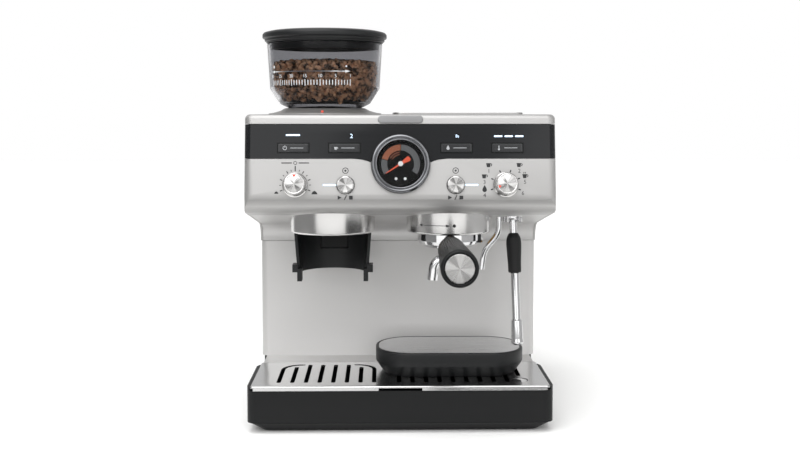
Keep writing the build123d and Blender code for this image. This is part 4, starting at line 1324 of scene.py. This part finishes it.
# ---- bean hopper ----
@dataclass
class Hopper:
    """Smoked hopper with its beans, lid, collar and printed grind scale.

    Attributes:
        x: Its axis across the machine.
        y: Its axis front to back.
        rim_z: Height of its rim.
        rim_radius: Radius of its rim.
        lid_z: Top of the lid.
        lid_radius: Radius of the lid's edge.
        beans_z: Height of the beans.
        lowest_bean: Height of the lowest ones against the wall.
        ticks_z: Height of the grind scale's ticks.
        figures_z: Height of its numbers.
        arrow_z: Height of its double arrow.
        dots_z: Height of the dots over the arrow's ends.
        span: Half the length of the scale.
    """

    x: float = -81.0
    y: float = 30.0
    rim_z: float = 398.0
    rim_radius: float = 63.0
    lid_z: float = 414.0
    lid_radius: float = 68.0
    beans_z: float = 375.0
    lowest_bean: float = 337.0
    ticks_z: float = 354.5
    figures_z: float = 361.2
    arrow_z: float = 366.2
    dots_z: float = 371.4
    span: float = 50.0

    def collar(self) -> None:
        """Flared metal collar: a thin rim, a rising cone and a rolled lip."""
        outline = [(40.4, 313), (41.1, 313), (41.1, 321.05), (62, 321.05), (62, 321.9), (57, 322.6),
                   (49, 324.8), (44.5, 327.4), (42.4, 327.8), (40.4, 327.8)]
        skin = Skin()
        skin.turn(rounded(outline, 0.8, 4, True), upright(self.x, self.y), 144, True)
        make("collar", skin, CASE_PAINT, "housing", ["hopper_collar"], 45)
        mark = Skin()
        place = Place((self.x, self.y - 55.2, 323.4), (1, 0, 0), (0, 0.35, 0.94))
        mark.prism(round_rect(2.6, 3.2, 0.6, 4), -0.4, 0.5, place)
        make("collar_index", mark, PAINT_RED, "housing")

    def bowl(self) -> None:
        """Clear bowl: neck, chamfered bottom, flared wall and rounded rim, with an even wall."""
        r = self.rim_radius
        outside = [(40, 316), (40, 328.2), (41.6, 328.6), (49.4, 332.5), (60, 348.5), (r, self.rim_z)]
        inside = [(r - 2.4, self.rim_z), (57.6, 349.5), (46.6, 334.6), (36, 330), (35, 316)]
        skin = Skin()
        skin.turn(rounded(outside + inside, 1.8, 4, True), upright(self.x, self.y), 144, True)
        make("bowl", skin, SMOKED, "hopper", ["hopper_bowl"], 40)

    def lid(self) -> None:
        """Lid: plug, two steps under the rim, rounded rim and a low dome."""
        r = self.lid_radius
        outline = [(58, 390.5), (60, 390.5), (60, 398.4), (63.8, 398.4), (63.8, 400.2), (65.6, 400.2),
                   (65.6, 403.0), (r - 0.6, 403.2), (r, 404.2), (r, 407.6), (r - 1.6, 409.6), (60, 411.2),
                   (44, 412.0), (20, 412.4), (0, self.lid_z - 1.5), (0, 409.0), (57, 401), (58, 399)]
        skin = Skin()
        skin.turn(rounded(outline, 0.9, 4, True), upright(self.x, self.y), 160, True)
        make("lid_dome", skin, LID_PLASTIC, "lid", ["hopper_lid"], 24)

    def inner_wall(self, z: Array) -> Array:
        """Radius of the bowl's inside at each height."""
        return np.interp(z, [334.6, 349.5, self.rim_z], [46.6, 57.6, self.rim_radius - 2.4])

    def beans(self) -> None:
        """Beans against the wall and over the top: flattened eggs set at golden-angle steps.

        Each bean is a grid of two angles; its centre's radius follows the bowl's inner wall at its
        height, or spreads evenly over the top; its turn comes from a seeded random table.
        """
        rng = np.random.default_rng(7)
        side, top = 520, 260
        golden = 2.399963
        k = np.arange(side)
        z = self.lowest_bean + (self.beans_z - self.lowest_bean) * (k + 0.5) / side
        wall = self.inner_wall(z) - 5.4
        edge = np.stack([wall * np.cos(k * golden), wall * np.sin(k * golden), z], -1)
        q = np.arange(top)
        reach = (self.rim_radius - 9.5) * np.sqrt((q + 0.5) / top)
        crown = self.beans_z + 2.2 * np.cos(reach / 30)
        cover = np.stack([reach * np.cos(q * golden), reach * np.sin(q * golden), crown], -1)
        centres = np.vstack([edge, cover]) + rng.uniform(-0.7, 0.7, (side + top, 3))
        v, u = np.meshgrid(np.linspace(0, math.pi, 7), np.arange(10) * TAU / 10, indexing="ij")
        egg = np.stack([4.6 * np.cos(v), 3.2 * np.sin(v) * np.cos(u), 2.5 * np.sin(v) * np.sin(u)], -1)
        turn = np.linalg.qr(rng.normal(size=(len(centres), 3, 3)))[0]
        points = egg.reshape(1, -1, 3) @ turn + centres[:, None]
        limit = self.inner_wall(points[..., 2]) - 0.8
        far = np.hypot(points[..., 0], points[..., 1])
        points[..., :2] *= np.minimum(1, limit / np.maximum(far, 1e-6))[..., None]
        skin = Skin()
        m, n = v.shape
        i, j = np.arange(m - 1)[:, None], np.arange(n)[None]
        quad = np.stack([i * n + j, i * n + (j + 1) % n, (i + 1) * n + (j + 1) % n, (i + 1) * n + j], -1)
        first = np.arange(len(points))[:, None] * (m * n)
        every = (first[:, :, None] + quad.reshape(1, -1, 4)).reshape(-1, 4)
        skin.put(points + np.array([self.x, self.y, 0.0]), every.tolist())
        make("beans", skin, BEAN, "hopper", sharp=80)
        # The bed behind the beans takes the darker bean finish as painted shade in the gaps.
        heart = Skin()
        heart.turn([(0, 333.0), (40, 333.0), (49.0, 349.5), (52.0, self.beans_z - 3), (20, self.beans_z - 1),
                    (0, self.beans_z - 1)], upright(self.x, self.y), 64)
        make("bean_bed", heart, BEAN_GAP_SHADE, "hopper")

    def wrap(self, points: Array, lift: float) -> Array:
        """Wrap flat marks round the bowl: across becomes an angle in front, up becomes height.

        Args:
            points: Points across, up and outward of the wall.
            lift: Height of the marks' origin.

        Returns:
            Points on the bowl.
        """
        z = lift + points[..., 1]
        wall = np.interp(z, [348.5, self.rim_z], [60.0, self.rim_radius]) + 0.03 + points[..., 2]
        a = points[..., 0] / 62.0 - 0.30
        return np.stack([self.x + wall * np.sin(a), self.y - wall * np.cos(a), z], -1)

    def scale(self) -> None:
        """White double arrow, ticks and the numbers 30 to 1 round the front of the bowl."""
        skin = Skin()
        span = self.span
        strokes = [(self.arrow_z, o) for o in double_arrow(span, 6.0, 0.84, 40)]
        for i, x in enumerate(np.linspace(-span, span, 31)):
            h = 2.6 if i % 5 else 3.4
            strokes.append((self.ticks_z, bar(x, -h, x, h, 0.9)))
        for side, radius in ((-1, 1.5), (1, 1.0)):
            strokes.append((self.dots_z, circle(14) * radius + np.array([side * (span - 5), 0.0])))
        for z, o in strokes:
            skin.rings(self.wrap(raised(o, 0.0, 0.06), z))
        for x, words in zip(np.linspace(-span, span, 7), ("30", "25", "20", "15", "10", "5", "1")):
            points, faces = text_outline(words, 5.0)
            skin.put(self.wrap(points + np.array([x, 0, 0.04]), self.figures_z), faces)
        make("grind_scale", skin, INK_WHITE, "hopper")

    def build(self) -> None:
        """Make the hopper's pieces."""
        self.collar()
        self.bowl()
        self.beans()
        self.scale()
        self.lid()


# ---- outlets under the head ----
@dataclass
class Outlets:
    """Grinder outlet ring with its cradle, and the brew group with its portafilter.

    Attributes:
        outlet_x: Axis of the grinder outlet.
        group_x: Axis of the brew group.
        y: Distance of both axes from the middle.
        radius: Outside of both rings.
        low: Lower edge of both rings.
        slope: Degrees that the head's underside rises towards the front.
        cove: Radius between the front and the underside.
        marks_z: Height of the lock marks.
        marks_turn: Angle in radians from the front to their middle, to the left.
        handle_start: Near end of the handle, y and z.
        handle_end: Far end of the handle, y and z.
        ribs: Number of ribs round the handle.
        rib_depth: Depth of the grooves between them.
    """

    outlet_x: float = -70.0
    group_x: float = 51.5
    y: float = -35.0
    radius: float = 44.0
    low: float = 198.5
    slope: float = 10.9
    cove: float = 20.0
    marks_z: float = 208.5
    marks_turn: float = 0.42
    handle_start: tuple[float, float] = (-70.0, 184.4)
    handle_end: tuple[float, float] = (-199.6, 182.5)
    ribs: int = 40
    rib_depth: float = 0.8

    def underside(self, y: Array) -> Array:
        """Height of the head's sloping underside at each y."""
        phi, r = math.radians(self.slope), self.cove
        return FRONT_Z - r * math.cos(phi) - math.tan(phi) * (y - FRONT_Y - r + r * math.sin(phi))

    def ring(self, name: str, x: float, wall: float, finish: Finish, node: str) -> None:
        """Ring under the head: rounded lower edge, upper edge following the sloping underside.

        Args:
            name: Piece name.
            x: Its axis.
            wall: Thickness.
            finish: Its finish.
            node: CAD node that it stands for.
        """
        r = self.radius
        c = circle(144)
        rim = rounded([(r - wall, self.low), (r - 1.2, self.low), (r, self.low + 1.4), (r, self.low + 6),
                       (r - wall, self.low + 6)], 0.7, 4, True)
        reach = rim[:, 0][:, None, None] * c[None]
        top = self.underside(self.y + reach[..., 1]) + 3.0
        up = np.where(rim[:, 1][:, None] > self.low + 3, top, rim[:, 1][:, None])
        skin = Skin()
        grid = np.stack([x + reach[..., 0], self.y + reach[..., 1], up], -1)
        skin.rings(grid, True)
        make(name, skin, finish, "housing", [node], 50)

    def axis(self) -> Place:
        """Place at the near end of the handle with outward along it.

        Returns:
            The place.
        """
        (y0, z0), (y1, z1) = self.handle_start, self.handle_end
        d = np.array([0.0, y1 - y0, z1 - z0])
        d /= np.linalg.norm(d)
        return Place((self.group_x, y0, z0), (1.0, 0.0, 0.0), tuple(np.cross(d, (1.0, 0.0, 0.0))))

    def handle(self) -> None:
        """Handle: tapering grip with a rounded end and fine ribs along its near part, and a turned cap.

        The ribs are a cosine of the angle, taken off the outline's radius, that fades towards the end.
        """
        (y0, z0), (y1, z1) = self.handle_start, self.handle_end
        n = math.hypot(y1 - y0, z1 - z0)
        outline = [(0, 0.02), (11.0, 0.02), (13.1, 3.0), (13.7, 12), (15.1, 55), (16.9, 100), (17.5, n - 7),
                   (17.5, n - 2.0), (16.5, n - 0.5), (15.2, n - 0.1), (14.0, n - 0.4), (14.0, n - 3.0),
                   (0, n - 3.0)]
        o = rounded(outline, 2.0, 6)
        c = circle(240)
        a = np.arange(240) * TAU / 240
        fade = np.interp(o[:, 1], [0, 6, 70, 112], [0, 1, 1, 0])[:, None]
        reach = o[:, 0][:, None] - self.rib_depth * fade * (0.5 + 0.5 * np.cos(a * self.ribs))[None]
        flat = np.maximum(reach, 1e-4)[..., None] * c[None]
        lift = np.broadcast_to(o[:, 1][:, None, None], flat.shape[:2] + (1,))
        skin = Skin()
        skin.rings(self.axis().at(np.concatenate([flat, lift], -1)))
        make("handle_grip", skin, NYLON, "portafilter",
             ["portafilter_handle"], 50)
        cap = Skin()
        disc = [(0, n - 2.9), (13.7, n - 2.9), (13.7, n - 0.7), (13.0, n - 0.35), (0, n - 0.3)]
        cap.turn(rounded(disc, 0.4, 4), self.axis())
        # The end cap's colour carries painted reflection fans.
        turned = turned_face_painted_fans("cap_fans_painted", self.axis(), n, 0.66, "bcbbba", 0.28, 0.7)
        make("handle_end_cap", cap, turned, "portafilter", ["handle_cap"], 40)

    def paddle(self) -> None:
        """Sprung plate in the cradle's back: its face, a stem and a flange behind the window."""
        place = Place((self.outlet_x, self.y, 187.0), (-1.0, 0.0, 0.0), (0.0, 0.0, 1.0))
        skin = Skin()
        skin.block(29.0, 20.8, 1.0, [(0.4, 35.5), (0, 35.9), (0, 38.5)], place)
        skin.block(10.0, 6.0, 0.5, [(0, 38.0), (0, 44.0)], place)
        below = Place((self.outlet_x, self.y, 186.3), place.right, place.up)
        skin.block(33.0, 23.6, 1.5, [(0, 41.2), (0, 42.2)], below)
        make("paddle_plate", skin, DARKER_ABS_WITH_SHADE, "paddle", ["grind_paddle"], 30)

    def spout(self) -> None:
        """Twin spout: a turned hub and two thick pipes that curve out and down."""
        x, y = self.group_x, self.y
        skin = Skin()
        skin.turn(rounded([(0, 162.5), (7.5, 162.5), (9.4, 165), (9.4, 176.8), (0, 176.8)], 0.8, 4),
                  upright(x, y), 64)
        for side in (-1, 1):
            corners = [(x + side * 3, y, 168.6), (x + side * 14.6, y, 167.6), (x + side * 16.8, y, 147)]
            skin.pipe(bent(corners, 10.0, 16), 5.7, 1.7, 36)
        node = "portafilter_spout"
        make("spout_pipes", skin, CHROME, "portafilter", [node], 45)

    def lock_marks(self) -> None:
        """Turn arrow with an open ring at one end and a full one at the other, wrapped round the shroud."""
        skin = Skin()
        open_end = ring_outline(1.5, 0.5) + np.array([-21.5, 0.0])
        full_end = circle(16) * 1.7 + np.array([21.5, 0.0])
        for o in double_arrow(17.0, 4.0, 0.6, 30) + [open_end, full_end]:
            rows = raised(o, 0.02, 0.07)
            reach = self.radius + rows[..., 2]
            a = rows[..., 0] / self.radius - self.marks_turn
            skin.rings(np.stack([self.group_x + reach * np.sin(a), self.y - reach * np.cos(a),
                                 self.marks_z + rows[..., 1]], -1))
        make("lock_marks", skin, INK_DARK, "housing")

    def build(self) -> None:
        """Make both rings, the handle and the marks."""
        self.ring("outlet_collar", self.outlet_x, 3.0, SPUN, "outlet_ring")
        self.ring("group_collar", self.group_x, 2.6, SPUN, "group_shroud")
        self.paddle()
        self.lock_marks()
        self.handle()
        self.spout()


# ---- hot water and steam ----
@dataclass
class Wands:
    """Bent hot-water tube and jointed steam wand.

    Attributes:
        tube_x: Axis of the hot-water tube where it leaves the head.
        y: Its distance from the middle.
        tube_radius: Outside radius of the tube.
        ball: Centre of the steam wand's ball.
        lean: Degrees that the wand leans forward and outward.
    """

    tube_x: float = 104.5
    y: float = -35.0
    tube_radius: float = 3.0
    ball: tuple[float, float, float] = (119.0, -35.0, 217.0)
    lean: tuple[float, float] = (9.0, 1.3)

    def hot_tube(self) -> None:
        """Chrome tube bent in an upright plane, with an open end."""
        x, y = self.tube_x, self.y
        skin = Skin()
        skin.pipe(bent([(x, y, 232), (x, y, 196), (x - 16, y, 177), (x - 18, y, 158)], 9.0),
                  self.tube_radius, 0.9)
        make("hot_tube", skin, CHROME, "housing", ["hot_water_tube"], 45)

    def along(self) -> Place:
        """Place at the ball's centre with outward pointing up the leaning wand.

        Returns:
            The place.
        """
        f, s = (math.radians(a) for a in self.lean)
        turn_x = np.array([[1, 0, 0], [0, math.cos(f), math.sin(f)], [0, -math.sin(f), math.cos(f)]])
        turn_y = np.array([[math.cos(s), 0, -math.sin(s)], [0, 1, 0], [math.sin(s), 0, math.cos(s)]])
        basis = turn_x @ turn_y
        return Place(self.ball, tuple(basis @ (1, 0, 0)), tuple(basis @ (0, 1, 0)))

    def wand(self) -> None:
        """Steam wand: ball, stem, tube and nozzle turned as one smooth profile about its leaning axis."""
        ball = [(0.0, 7.9)] + [(7.9 * math.sin(a), 7.9 * math.cos(a)) for a in np.linspace(0.25, 2.6, 18)]
        rest = [(4.0, -8.2), (4.0, -62.4), (4.4, -62.6), (4.4, -110.4), (5.8, -112), (6.0, -131),
                (6.5, -134.4), (5.6, -135.8), (3.4, -136.9), (1.9, -136.9), (1.7, -134.0), (0, -134.0)]
        skin = Skin()
        skin.turn(np.vstack([ball, rounded(rest, 0.5, 4)]), self.along(), 64)
        make("wand_tube", skin, CHROME, "wand", ["steam_wand"], 50)
        sleeve = [(4.05, -62), (6.0, -62), (6.8, -60.8), (6.9, -52), (7.5, -42), (8.0, -31), (7.3, -25.5),
                  (5.6, -22.0), (4.6, -20.6), (4.05, -20.6)]
        grip = Skin()
        grip.turn(rounded(sleeve, 2.2, 6, True), self.along(), 64, True)
        make("wand_sleeve", grip, RUBBER, "wand", ["wand_grip"], 50)

    def build(self) -> None:
        """Make the tube and the wand."""
        self.hot_tube()
        self.wand()


# ---- drip area ----
@dataclass
class DripArea:
    """Drip tray, its plate and the oval cup platform.

    Attributes:
        at: Middle of the platform.
        size: Width and depth of the platform.
        low: Height of its foot.
        top: Height of its top.
    """

    at: tuple[float, float] = (53.0, -22.0)
    size: tuple[float, float] = (156.0, 86.0)
    low: float = 48.8
    top: float = 75.0

    def platform(self) -> None:
        """Oval riser: a bevelled foot, an upright side and a rounded top edge round a shallow recess."""
        place = upright(*self.at)
        w, d = self.size
        layers = [(9.6, self.low), (8.0, self.low + 0.1), (7.6, self.low + 0.6), (0.5, 60.2), (0, 61.2),
                  (0, self.top - 1.6), (0.35, self.top - 0.6), (1.1, self.top - 0.05), (2.2, self.top),
                  (2.9, self.top - 0.25), (3.2, self.top - 1.0)]
        body = Skin()
        body.block(w, d, 38.0, layers, place, 16)
        make("platform_body", body, BLACK_ABS, "platform", ["cup_platform"], 40)
        sheet = Skin()
        sheet.block(w - 6.6, d - 6.6, 34.7, [(0, self.top - 0.9), (0, self.top - 0.35), (0.4, self.top - 0.1),
                                             (1.5, self.top - 0.08)], place, 16)
        make("platform_sheet", sheet, PLATFORM_TOP, "platform")

    def build(self) -> None:
        """Make the platform and soften the tray and plate."""
        self.platform()
        soften("drip_tray", DARKER_ABS_WITH_SHADE, 0.5)
        soften("drip_plate", PLATE, 0.35)


def main() -> None:
    """Build the studio and every sub-assembly, then log what each added."""
    logging.basicConfig(level=logging.INFO, format="%(name)s %(message)s")
    for part in (Studio(), Casing(), Gauge(), Controls(), Hopper(), Outlets(), Wands(), DripArea()):
        before = len(bpy.data.objects)
        part.build()
        LOG.info("%s added %d objects", type(part).__name__, len(bpy.data.objects) - before)


if __name__ == "__main__":
    main()
